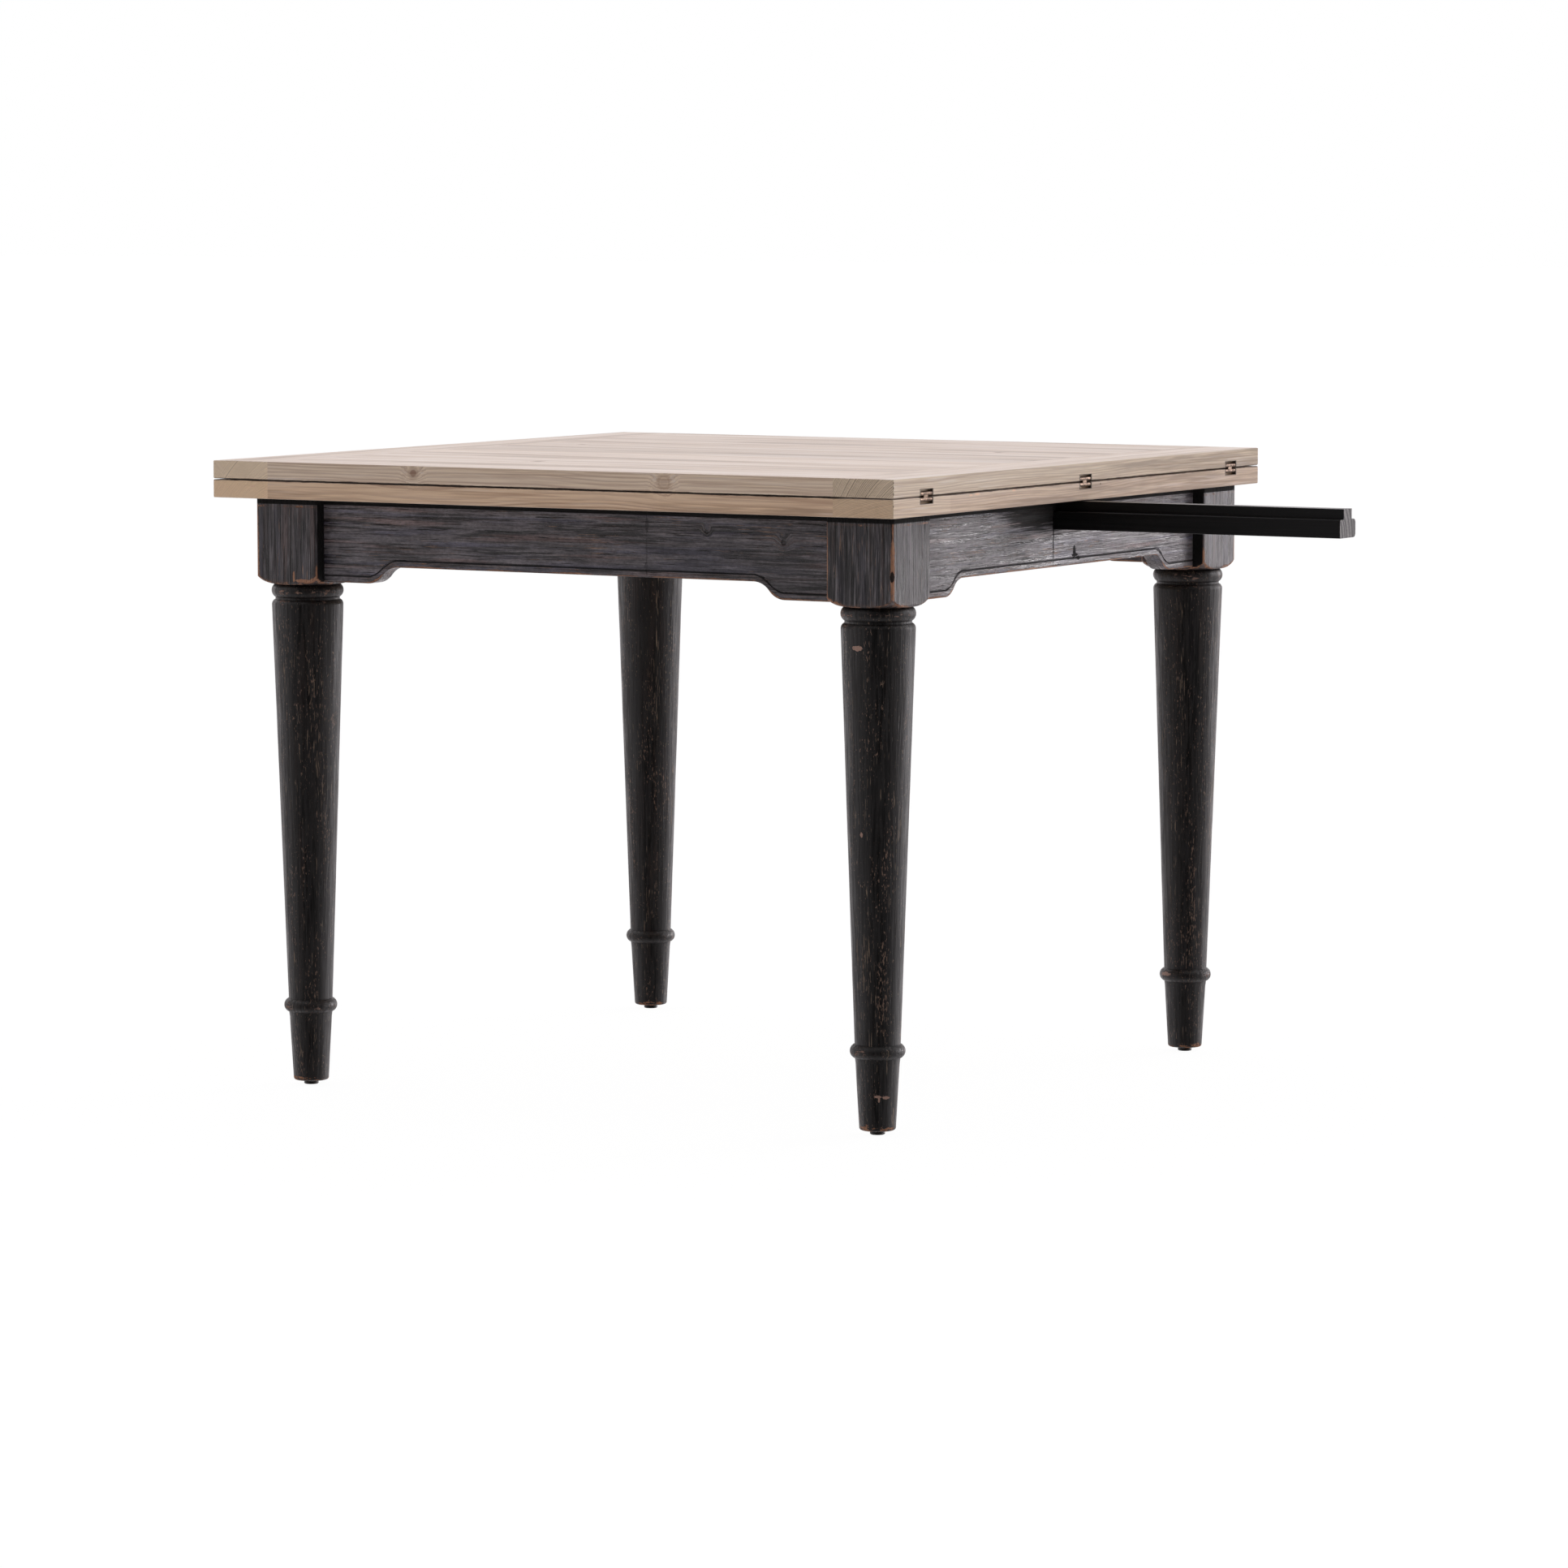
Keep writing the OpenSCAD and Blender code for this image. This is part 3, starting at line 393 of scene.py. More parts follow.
def whitewashed_pine():
    """Pale washed pine of the two leaves, browner on its sawn edges and end grain."""
    look = bpy.context.scene.table_top
    material, b, shader = start_material("Whitewashed pine", look.early_wood)
    place = b.shaded()
    x, y, z = b.split(place)
    nx, ny, nz = b.split(b.shaded("Normal"))
    grain = b.read("grain", "Vector")

    knots = marks_at(b, knot_mark(), place, (
        ((-0.1957, -LEAF_SIDE, 0.7613), 0.0060, 0.70),
        ((0.1553, -LEAF_SIDE, 0.7595), 0.0068, 0.22),
        ((-0.130, -0.300, LEAF_FACE), 0.0070, 0.80),
        ((-0.330, 0.120, LEAF_FACE), 0.0055, 0.80),
        ((0.240, 0.190, LEAF_FACE), 0.0050, 0.80),
        ((0.020, LEAF_SIDE, 0.7590), 0.0055, 0.80),
    ))
    push = strongest(b, knots, "Push")
    grain = b.vector("ADD", grain, b.join(0.0, push * 0.005, push * 0.004))
    figure = b.use(pine_figure(), {"Grain": grain, "Ring gap": look.ring_gap, "Wander": 0.006})
    late, fibre, band = figure["Late wood"], figure["Fibre"], figure["Band"]
    aside = b.vector("ADD", grain, (0.0, -0.085, 0.130))
    rings = b.use(pine_figure(), {"Grain": aside, "Ring gap": look.end_gap, "Wander": 0.003})["Late wood"]
    face = b.step(abs(nz), 0.5, 0.9)
    sawn_end = b.step(b.mix(b.read("crosswise"), abs(nx), abs(ny)), 0.6, 0.9)

    # Lengthwise figure
    wood = b.mix(late * b.step(face, 0.0, 1.0, 0.95, 0.75), look.early_wood, look.late_wood)
    thin = b.noise(grain, (5.0, 330.0, 330.0), 3.0, 0.6)
    wood = b.mix(b.step(thin, 0.50, 0.34, 0.0, 0.55), wood, look.late_wood)
    wood = b.mix(b.step(fibre, 0.56, 0.36, 0.0, 0.35), wood, look.late_wood)
    wood = b.mix(b.step(band, 0.50, 0.38, 0.0, 0.9), wood, look.grey_wood)

    # Rings and pores of the sawn ends
    clear = b.step(x, 0.30, 0.42, 0.45, 1.0) * b.step(z, 0.7470, 0.7480, 0.5, 1.0)
    cut = b.mix(rings * clear, (0.58, 0.460, 0.340), (0.09, 0.055, 0.034))
    cut = b.times(cut, b.step(x, -0.4, 0.3, 1.52, 1.07))
    pores = b.step(b.noise(grain, (900.0, 900.0, 900.0)), 0.3, 0.7, 0.0, 0.4)
    cut = b.mix(pores, cut, (0.50, 0.40, 0.30))
    wood = b.mix(sawn_end * 0.85, wood, cut)
    # Painted light: faces that look to the front or back are made lighter.
    painted_side_light = b.step(abs(ny), 0.6, 0.9, 1.0, 1.19)
    wood = b.times(wood, b.join(painted_side_light, painted_side_light * 1.03, painted_side_light))

    # White wash, and wax on the edges
    milk = b.step(band, 0.40, 0.62, 0.0, 0.55) + b.step(thin, 0.40, 0.62, 0.0, 0.25) + look.wash
    milk = milk * b.step(face, 0.0, 1.0, 0.30, 1.0) * (sawn_end * -0.6 + 1.0)
    wood = b.mix(milk, wood, look.wash_colour)
    wax = b.step(b.noise(grain, (7.0, 300.0, 300.0)), 0.60, 0.70)
    wax = wax * b.step(face, 0.5, 0.0, 0.0, 0.5) * (1.0 - sawn_end)
    wood = b.mix(wax, wood, (0.78, 0.69, 0.61))

    # Each board's own tone, and the tones of the hinge edge and the lower leaf's sides
    wood = b.times(wood, b.read("board") * 0.16 + 0.92)
    edge_low = b.step(x, 0.4610, 0.4620) * b.step(z, 0.7480, 0.7466)
    jointed = edge_low * b.step(y, -0.3404, -0.3396)
    wood = b.mix(jointed, wood, b.times(wood, (0.95, 0.925, 0.925)))
    edge_high = b.step(x, 0.4610, 0.4620) * b.step(z, 0.7466, 0.7480)
    wood = b.mix(edge_high, wood, b.times(wood, (0.955, 0.985, 0.99)))
    warm = b.step(z, 0.7480, 0.7466, 0.0, 0.8) * b.step(x, 0.4610, 0.4620, 1.0, 0.0)
    wood = b.mix(warm * (1.0 - face), wood, b.times(wood, (0.975, 0.862, 0.762)))

    # Knots and stains, with painted shade in the seam between the leaves and round the hinges
    wood = b.mix(strongest(b, knots, "Ring") * 0.40, wood, (0.34, 0.20, 0.12))
    wood = b.mix(strongest(b, knots, "Core"), wood, (0.20, 0.085, 0.048))
    stains = chips_at(b, place, (
        ((HINGE_EDGE, 0.0390, 0.7431), (0.004, 0.0016, 0.0016)),
        ((HINGE_EDGE, -LEAF_SIDE, 0.7660), (0.0012, 0.0012, 0.0016)),
        ((HINGE_EDGE, -LEAF_SIDE, 0.7600), (0.0012, 0.0012, 0.0022)),
        ((HINGE_EDGE, -LEAF_SIDE, 0.7530), (0.0012, 0.0012, 0.0018)),
        ((HINGE_EDGE, -LEAF_SIDE, 0.7390), (0.0010, 0.0010, 0.0016)),
    ))
    wood = b.mix(stains * 0.75, wood, (0.11, 0.065, 0.040))
    ragged = b.noise(place, (60.0, 60.0, 500.0), 3.0, 0.6)
    from_seam = abs(z - SEAM)
    rim_x = b.step(abs(x - LEAF_MIDDLE), 0.4725, 0.4738)
    rim_y = b.step(abs(y), 0.4725, 0.4738)
    # Painted shade along the seam between the leaves, fainter near the front right corner
    seam_shade = b.step(from_seam + (ragged - 0.5) * 0.0022, 0.0008, 0.0018, 0.85, 0.0) * b.most(rim_x, rim_y)
    to_corner = b.vector("DISTANCE", b.join(x, y, 0.0), (HINGE_EDGE, -LEAF_SIDE, 0.0))
    seam_shade = seam_shade * b.step(to_corner, 0.055, 0.085, 0.15, 1.0)
    # Painted shade round the hinges on the hinge edge
    from_hinge = b.least(abs(y), abs(abs(y) - HINGE_Y))
    past = b.most(from_hinge - look.hinge_half, from_seam - look.hinge_tall)
    hinge_shade = b.step(past, 0.0003, 0.0016, 0.9, 0.0) * b.step(x, 0.4560, 0.4600)
    wood = b.mix(b.most(seam_shade, hinge_shade), wood, (0.028, 0.016, 0.011))
    chips = chips_at(b, place, (
        ((HINGE_EDGE, -0.2740, 0.7446), (0.004, 0.0085, 0.0018)),
        ((HINGE_EDGE, -0.2900, 0.7440), (0.004, 0.0050, 0.0014)),
        ((HINGE_EDGE, -0.1840, 0.7450), (0.004, 0.0060, 0.0015)),
        ((-0.4300, -LEAF_SIDE, 0.7400), (0.006, 0.004, 0.0018)),
    ))
    b.fill(shader, {
        "Base Color": b.mix(chips * 0.8, wood, (0.86, 0.60, 0.42)),
        "Roughness": b.step(fibre, 0.3, 0.7, 0.38, 0.58) + late * -0.06 + b.step(face, 0.0, 1.0, 0.22, 0.0),
        "Normal": b.bump(late * 0.5 - fibre * 0.8, 0.0004, 0.8),
        "Specular IOR Level": 0.32,
    })
    return material


def charcoal_paint():
    """Rubbed charcoal paint: greyest on the rails, darker on the blocks, nearly black on the shafts."""
    look = bpy.context.scene.table_paint
    material, b, shader = start_material("Charcoal paint", look.paint)
    place = b.shaded()
    x, y, z = b.split(place)
    turned, rail, recess = b.read("turned"), b.read("rail"), b.read("recess")

    # Wear along the rails' lower edge and routed line, and round the top of the blocks
    arch = b.step(b.least(abs(x), abs(y)), 0.250, 0.292, 0.6440, 0.6235)
    height = z - arch
    down = b.split(b.shaded("Normal"))[2]
    near = b.step(height, 0.0, 0.0046, 1.0, 0.0) * b.step(down, -0.5, -0.1, 0.4, 1.0)
    lower_lip = b.step(height, 0.0046, 0.0054) * b.step(height, 0.0064, 0.0072, 0.50, 0.0)
    top_edge = b.step(z, 0.7125, 0.7140) * b.step(z, 0.7158, 0.7168, 0.62, 0.0)
    wear = b.most(b.read("wear"), b.most(near, lower_lip) * rail, top_edge * (1.0 - rail))

    knots = marks_at(b, knot_mark(), place, (
        ((0.2913, -RAIL_FACE, 0.6912), 0.0042),
        ((0.1867, -RAIL_FACE, 0.7004), 0.0030),
        ((-0.1500, RAIL_FACE, 0.6800), 0.0042),
        ((-RAIL_FACE, 0.120, 0.6900), 0.0040),
    ))
    core = strongest(b, knots, "Core")
    grain = b.vector("ADD", b.read("grain", "Vector"), b.join(0.0, strongest(b, knots, "Push") * 0.007, 0.0))

    # The paint of rails, blocks and shafts, with painted light: lighter towards the left and the back, darker
    # at the front right, less so on the rails
    painted_light = (b.step(x - y, 0.1, 0.8, 1.92, 0.79) - 1.0) * (rail * -0.6 + 1.0) + 1.0
    paint = b.mix(turned, b.mix(rail, look.paint, look.rail_paint), look.shaft_paint)
    coat = b.use(painted_wood(), {
        "Grain": grain,
        "Paint": b.times(paint, painted_light),
        "Light streak": b.mix(turned, look.light_streak, (0.0100, 0.0086, 0.0080)),
        "Under coat": b.mix(turned, look.under_coat, (0.20, 0.145, 0.098)),
        "Flecks": turned * 0.03 + 0.42 + rail * 0.08,
    })

    # Wood that shows where edges are rubbed and chips are out
    around = b.step(b.noise(place, (120.0, 120.0, 380.0), 3.0, 0.6), 0.42, 0.60, 0.45, 1.0)
    wear = wear * (turned * (around - 1.0) + 1.0)
    edge = b.use(rubbed_edge(), {"Grain": grain, "Wear": wear, "Amount": look.rub})
    corner_chips = chips_at(b, place, (
        ((-0.3905, -BLOCK_FACE, 0.6290), (0.0020, 0.02, 0.0090)),
        ((-0.3770, -BLOCK_FACE, 0.6245), (0.0150, 0.02, 0.0028)),
    ))
    bare = b.most(edge["Bare"], corner_chips)
    chips = chips_at(b, place, (
        ((0.3975, -0.4447, 0.5720), (0.0082, 0.02, 0.0040)),
        ((0.3925, -0.4447, 0.5725), (0.0034, 0.02, 0.0026)),
        ((0.3990, -0.4360, 0.3550), (0.0022, 0.02, 0.0040)),
        ((0.4130, -0.4222, 0.0474), (0.0045, 0.02, 0.0022)),
        ((0.4140, -0.4222, 0.0440), (0.0013, 0.02, 0.0044)),
        ((0.4200, -0.4160, 0.0462), (0.0035, 0.02, 0.0024)),
        ((0.3890, 0.3800, 0.1010), (0.0120, 0.02, 0.0040)),
    ))
    shade = b.noise(grain, (60.0, 500.0, 500.0), 3.0, 0.6)
    wood = b.mix(b.step(shade, 0.35, 0.65), look.bare_wood, (0.42, 0.22, 0.13))
    wood = b.mix(turned * b.step(z, 0.02, 0.04), wood, (0.235, 0.145, 0.110))

    # Thin paint, tan specks and dapples
    colour = b.mix(edge["Thin"] * (turned * -0.42 + 0.5), coat["Colour"], (0.110, 0.062, 0.042))
    crowd = b.noise(grain, (9.0, 60.0, 60.0))
    speck = b.noise(grain, (170.0, 680.0, 680.0), 2.0, 0.6) + (crowd - 0.5) * 0.45
    colour = b.mix(b.step(speck, 0.655, 0.70, 0.0, 0.7) * turned, colour, look.under_coat)
    dapple = b.step(b.noise(place, (170.0, 170.0, 300.0), 3.0, 0.7), 0.36, 0.64, 0.80, 1.22)
    colour = b.times(colour, rail * (dapple - 1.0) + 1.0)
    colour = b.mix(bare, colour, wood)
    colour = b.mix(chips, colour, (0.36, 0.22, 0.17))

    # Dents and knots, a painted shadow of the slide on the right rail, and painted shade in the recesses
    # beside the rails, under the leaf and in the routed line
    dents_and_slide_shadow = chips_at(b, place, (
        ((0.4439, -0.4449, 0.6560), (0.0030, 0.0040, 0.0075)),
        ((RAIL_FACE, 0.0330, 0.6600), (0.02, 0.0046, 0.0100)),
        ((RAIL_FACE, 0.0350, 0.6560), (0.02, 0.0100, 0.0026)),
        ((RAIL_FACE, 0.0440, 0.6520), (0.02, 0.0060, 0.0028)),
        # Painted shadow: a thin dark strip on the right rail along the slide's front face
        ((RAIL_FACE, -0.0214, 0.6900), (0.02, 0.0020, 0.0500), 0.8),
        ((0.1042, -RAIL_FACE, 0.6850), (0.0014, 0.02, 0.0500), 0.28),
        ((0.1046, -RAIL_FACE, 0.7060), (0.0030, 0.02, 0.0100), 0.45),
        ((0.1036, -RAIL_FACE, 0.6560), (0.0028, 0.02, 0.0070), 0.40),
    ))
    colour = b.mix(dents_and_slide_shadow * 0.95, colour, (0.003, 0.003, 0.003))
    colour = b.mix(core * 0.65, colour, (0.006, 0.006, 0.006))
    groove = b.step(height, 0.0068, 0.0074) * b.step(height, 0.0086, 0.0092, 0.85, 0.0)
    # Painted shade: the block strips beside the rails, a strip just under the leaf and the routed line
    painted_shade = b.most(recess, b.step(z, 0.7166, 0.7178), groove * rail)
    # Painted shadow of the slide: a soft dark patch on the right rail in front of it, near the top
    slide_shadow = b.vector("DIVIDE", b.vector("SUBTRACT", place, (RAIL_FACE, -0.030, 0.7220)), (0.5, 0.128, 0.034))
    slide_shadow = b.vector("LENGTH", slide_shadow) + (coat["Streak"] - 0.5) * 3.0
    slide_shadow = b.step(slide_shadow, 0.75, 1.15, 1.0, 0.0) * b.step(x, 0.425, 0.429)

    # Roughness, more on the right rail away from the slide, and relief
    calm = b.most(b.step(y, -0.02, 0.05), b.step(y, -0.28, -0.34)) * b.step(x, 0.425, 0.429, 0.0, 0.13)
    rough = b.step(coat["Streak"], 0.42, 0.58, 0.26, 0.54) + b.most(bare, recess) * 0.25
    rough = rough + turned * 0.10 - rail * 0.07 + calm * rail + slide_shadow * 0.55
    relief = coat["Relief"] - b.most(bare, chips) * 0.35 - b.most(core, dents_and_slide_shadow) * 0.8
    relief = relief * (turned * -0.55 + 1.0) * (rail * 0.6 + 1.0)
    b.fill(shader, {
        "Base Color": b.mix(b.most(painted_shade, slide_shadow * 0.95), colour, (0.0025, 0.0025, 0.0025)),
        "Roughness": b.math("ADD", rough, b.most(painted_shade, dents_and_slide_shadow) * 0.7, clamp=True),
        "Normal": b.bump(relief, 0.0026, 0.9),
        "Specular IOR Level": 0.5,
    })
    return material


def slide_lacquer():
    """Smooth black lacquer with end grain showing on the slide's free end."""
    look = bpy.context.scene.table_paint
    material, b, shader = start_material("Black lacquer", look.lacquer)
    grain = b.read("grain", "Vector")
    _, y, z = b.split(b.shaded())
    from_heart = b.join(0.0, y + 0.070, z - 0.684)
    figure = b.use(pine_figure(), {"Grain": from_heart, "Ring gap": 0.0066, "Wander": 0.0015})
    fibre = b.noise(grain, (6.0, 400.0, 400.0), 3.0, 0.6)
    end = b.step(abs(b.split(b.shaded("Normal"))[0]), 0.6, 0.95)
    body = b.mix(b.step(fibre, 0.4, 0.7), look.lacquer, (0.008, 0.008, 0.0082))
    saw = b.mix(b.step(figure["Late wood"], 0.05, 0.55), (0.215, 0.205, 0.205), (0.045, 0.043, 0.044))
    saw = b.mix(b.step(b.noise(grain, 700.0), 0.30, 0.62, 0.45, 0.0), saw, (0.03, 0.03, 0.03))
    worn = b.step(y, 0.004, 0.019) * b.step(z, 0.716, 0.708)
    saw = b.mix(worn * 0.6, saw, (0.05, 0.05, 0.05))
    b.fill(shader, {
        "Base Color": b.mix(end, body, saw),
        "Roughness": b.step(fibre, 0.3, 0.7, 0.30, 0.40) + end * 0.2,
        "Normal": b.bump(fibre, 0.00008, 0.5),
        "Specular IOR Level": 0.22,
    })
    return material


def bare_softwood():
    """Planed softwood of the braces, strips, buttons and bearer."""
    material, b, shader = start_material("Bare softwood", (0.55, 0.38, 0.22))
    figure = b.use(pine_figure(), {"Grain": b.read("grain", "Vector"), "Ring gap": 0.0028, "Wander": 0.005})
    late, fibre, band = figure["Late wood"], figure["Fibre"], figure["Band"]
    wood = b.mix(late * 0.8, (0.62, 0.45, 0.28), (0.42, 0.24, 0.115))
    wood = b.mix(b.step(fibre, 0.55, 0.35, 0.0, 0.3), wood, (0.34, 0.20, 0.10))
    wood = b.mix(b.step(band, 0.45, 0.75, 0.0, 0.25), wood, (0.40, 0.32, 0.25))
    b.fill(shader, {
        "Base Color": wood,
        "Roughness": b.step(fibre, 0.3, 0.7, 0.55, 0.72),
        "Normal": b.bump(late - fibre, 0.00015, 0.6),
    })
    return material


@once
def handled_metal():
    """Tarnish in cloudy patches, fine scratches of brighter metal, and pitted roughness."""
    b = new_tree(
        "Handled metal",
        [("Place", "Vector"), ("Metal", "Color"), ("Tarnish", "Color"), ("Cover", "Float", 0.5)],
        [("Colour", "Color"), ("Roughness", "Float"), ("Relief", "Float")])
    place = b.given["Place"]
    cloud = b.noise(place, 260.0, 4.0, 0.62)
    pit = b.noise(place, 1400.0)
    scratch = b.noise(place, (300.0, 3200.0, 900.0), 1.0)
    share = b.step(cloud - 0.5 + b.given["Cover"], 0.25, 0.75)
    colour = b.mix(share, b.given["Metal"], b.given["Tarnish"])
    colour = b.mix(b.step(scratch, 0.66, 0.74, 0.0, 0.5), colour, b.given["Metal"])
    rough = share * 0.22 + (pit * 0.12 + 0.26)
    return b.give({"Colour": colour, "Roughness": rough, "Relief": pit * 0.5 + scratch * 0.5})


def fitting_metal(name, metal, tarnish, cover, depth):
    """Metal for a kind of fitting."""
    material, b, shader = start_material(name, metal)
    place = b.shaded()
    coat = b.use(handled_metal(), {"Place": place, "Metal": metal, "Tarnish": tarnish, "Cover": cover})
    b.fill(shader, {
        "Base Color": coat["Colour"],
        "Roughness": coat["Roughness"],
        "Metallic": 0.9,
        "Normal": b.bump(coat["Relief"], depth, 0.6),
    })
    return material


def glide_plastic():
    """Hard dark plastic of the nail-in glides, scuffed by the floor."""
    black = (0.012, 0.010, 0.009)
    material, b, shader = start_material("Glide plastic", black)
    place = b.shaded()
    scuff = b.noise(place, (300.0, 300.0, 900.0), 3.0, 0.6)
    low = b.step(b.split(place)[2], 0.0016, 0.0002)
    dust = b.step(scuff, 0.45, 0.7) * (low * 0.5 + 0.15)
    b.fill(shader, {
        "Base Color": b.mix(dust, black, (0.16, 0.14, 0.12)),
        "Roughness": b.step(scuff, 0.3, 0.7, 0.34, 0.55),
        "Normal": b.bump(scuff, 0.0001, 0.5),
    })
    return material


def bumper_gel():
    """Clear soft domes between the leaves, with a little dust."""
    material, b, shader = start_material("Bumper gel", (0.8, 0.8, 0.78))
    dust = b.noise(b.shaded(), 900.0, 3.0, 0.6)
    b.fill(shader, {
        "Base Color": b.mix(b.step(dust, 0.5, 0.75, 0.0, 0.5), (0.86, 0.86, 0.84), (0.62, 0.58, 0.52)),
        "Roughness": b.step(dust, 0.3, 0.7, 0.12, 0.35),
        "Transmission Weight": 0.75,
        "IOR": 1.45,
    })
    return material


FINISHES = {
    "whitewashed_pine": once(whitewashed_pine),
    "charcoal_paint": once(charcoal_paint),
    "slide_black": once(slide_lacquer),
    "plain_wood": once(bare_softwood),
    "antique_brass": once(lambda: fitting_metal(
        "Antique brass", bpy.context.scene.table_fittings.brass, (0.065, 0.042, 0.029), 0.52, 0.00006)),
    "zinc_steel": once(lambda: fitting_metal(
        "Zinc steel", bpy.context.scene.table_fittings.zinc, (0.30, 0.30, 0.29), 0.35, 0.00003)),
    "glide_plastic": once(glide_plastic),
    "bumper_clear": once(bumper_gel),
}


# ---------------------------------------------------------------- pieces and their own values


def keep_values(mesh, name, values):
    """Writes a value for every point of a mesh: one number, or three."""
    values = np.asarray(values, dtype=np.float32)
    kind, field = ("FLOAT_VECTOR", "vector") if values.ndim == 2 else ("FLOAT", "value")
    mesh.attributes.new(name, kind, "POINT").data.foreach_set(field, values.ravel())


def points_of(mesh):
    """A mesh's points as an array, one row each."""
    flat = np.empty(len(mesh.vertices) * 3, dtype=np.float32)
    mesh.vertices.foreach_get("co", flat)
    return flat.reshape(-1, 3)


def lay_grain(mesh, run, seed, heart=(0.03, 0.06)):
    """Writes each point's place in its board: along the grain, and across and deep from the heart."""
    rng = random.Random(seed)
    points = points_of(mesh)
    middle = (points.min(0) + points.max(0)) / 2
    order = {"x": (0, 1, 2), "y": (1, 0, 2), "z": (2, 0, 1), "x_up": (0, 2, 1), "y_up": (1, 2, 0)}[run]
    local = (points - middle)[:, order]
    local[:, 0] += rng.uniform(-8.0, 8.0)
    local[:, 1] += rng.uniform(-heart[0], heart[0])
    local[:, 2] += rng.choice((-1, 1)) * rng.uniform(heart[1] * 0.5, heart[1])
    keep_values(mesh, "grain", local)
    keep_values(mesh, "board", np.full(len(points), rng.random()))


def merged_copy(node):
    """A CAD node's mesh as a joined-up bmesh."""
    bm = bmesh.new()
    bm.from_mesh(CAD_NODES[node].data)
    bmesh.ops.remove_doubles(bm, verts=bm.verts, dist=1e-6)
    return bm


def softened(node, ease, shortest=0.0, turn=25.0, rim=None):
    """A copy of a node's mesh whose sharp edges, from a given length up, are eased.

    With a rim, the edges that it picks are eased more: it is (ease, test), the test taking both ends."""
    bm = merged_copy(node)
    bmesh.ops.dissolve_limit(
        bm, angle_limit=math.radians(0.5), use_dissolve_boundaries=False, verts=bm.verts, edges=bm.edges)

    def turning(edges, least):
        return [e for e in edges if abs(e.calc_face_angle(0.0)) > math.radians(least)]

    def sharp():
        return turning([e for e in bm.edges if e.is_manifold and e.calc_length() > shortest], turn)

    def round_over(edges, offset, segments):
        bmesh.ops.bevel(
            bm, geom=edges, offset=offset, offset_type="OFFSET", segments=segments, profile=0.5,
            affect="EDGES", clamp_overlap=True, loop_slide=True)

    inner = sharp()
    if rim:
        wide, test = rim
        round_over([e for e in inner if test(e.verts[0].co, e.verts[1].co)], wide, 4)
        inner = turning(sharp(), 50.0)
    round_over(inner, ease, 2)
    mesh = bpy.data.meshes.new(node)
    bm.to_mesh(mesh)
    bm.free()
    return mesh


def stand_for(name, mesh, body, slot, node):
    """Makes a mesh a piece: shaded, finished, riding on its body, and standing for its node."""
    piece = bpy.data.objects.new(name, mesh)
    bpy.context.scene.collection.objects.link(piece)
    mesh.materials.clear()
    mesh.materials.append(FINISHES[slot]())
    for polygon in mesh.polygons:
        polygon.use_smooth = True
    mesh.set_sharp_from_angle(angle=math.radians(35.0))
    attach(piece, body)
    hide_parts(node)
    return piece


def set_eased(node, ending, body, slot, ease, grain=None, values=None, **edges):
    """Eases a node's edges, lays its grain, writes its values and lets the result stand for it."""
    mesh = softened(node, ease, **edges)
    if grain:
        lay_grain(mesh, *grain)
    for name, value in (values or {}).items():
        keep_values(mesh, name, np.full(len(mesh.vertices), value))
    piece = stand_for(f"{node}_{ending}", mesh, body, slot, node)
    weigh = piece.modifiers.new("Flat faces keep their shading", "WEIGHTED_NORMAL")
    weigh.keep_sharp = True
    weigh.weight = 50


def middle_of(low, high):
    return [(a + b) / 2 for a, b in zip(low, high)]


def solids_of(node):
    """The separate solids of a node, each as an array of points."""
    bm = merged_copy(node)
    bm.verts.ensure_lookup_table()
    seen, solids = set(), []
    for start in bm.verts:
        if start.index in seen:
            continue
        seen.add(start.index)
        waiting, found = [start], []
        while waiting:
            here = waiting.pop()
            found.append(tuple(here.co))
            for edge in here.link_edges:
                other = edge.other_vert(here)
                if other.index not in seen:
                    seen.add(other.index)
                    waiting.append(other)
        solids.append(np.array(found))
    bm.free()
    return solids


def lie_of(solid, flat=False):
    """Where a turned solid stands and which way its wide end looks; flat ones lie across their axis."""
    middle = (solid.min(0) + solid.max(0)) / 2
    _, ways = np.linalg.eigh(np.cov((solid - middle).T))
    way = ways[:, 0] if flat else ways[:, 2]
    way = np.round(way / np.abs(way).max(), 2)
    way = way / np.linalg.norm(way)
    along = (solid - middle) @ way
    away = np.linalg.norm((solid - middle) - np.outer(along, way), axis=1)
    low, high = along.min(), along.max()
    wide_high = away[along > high - 0.1 * (high - low)].max()
    wide_low = away[along < low + 0.1 * (high - low)].max()
    if wide_low > wide_high + 1e-6:
        return middle + way * low, -way
    return middle + way * high, way


# ---------------------------------------------------------------- turned forms in geometry nodes

FAR = 10.0  # a distance that no form reaches, so that nothing is cut


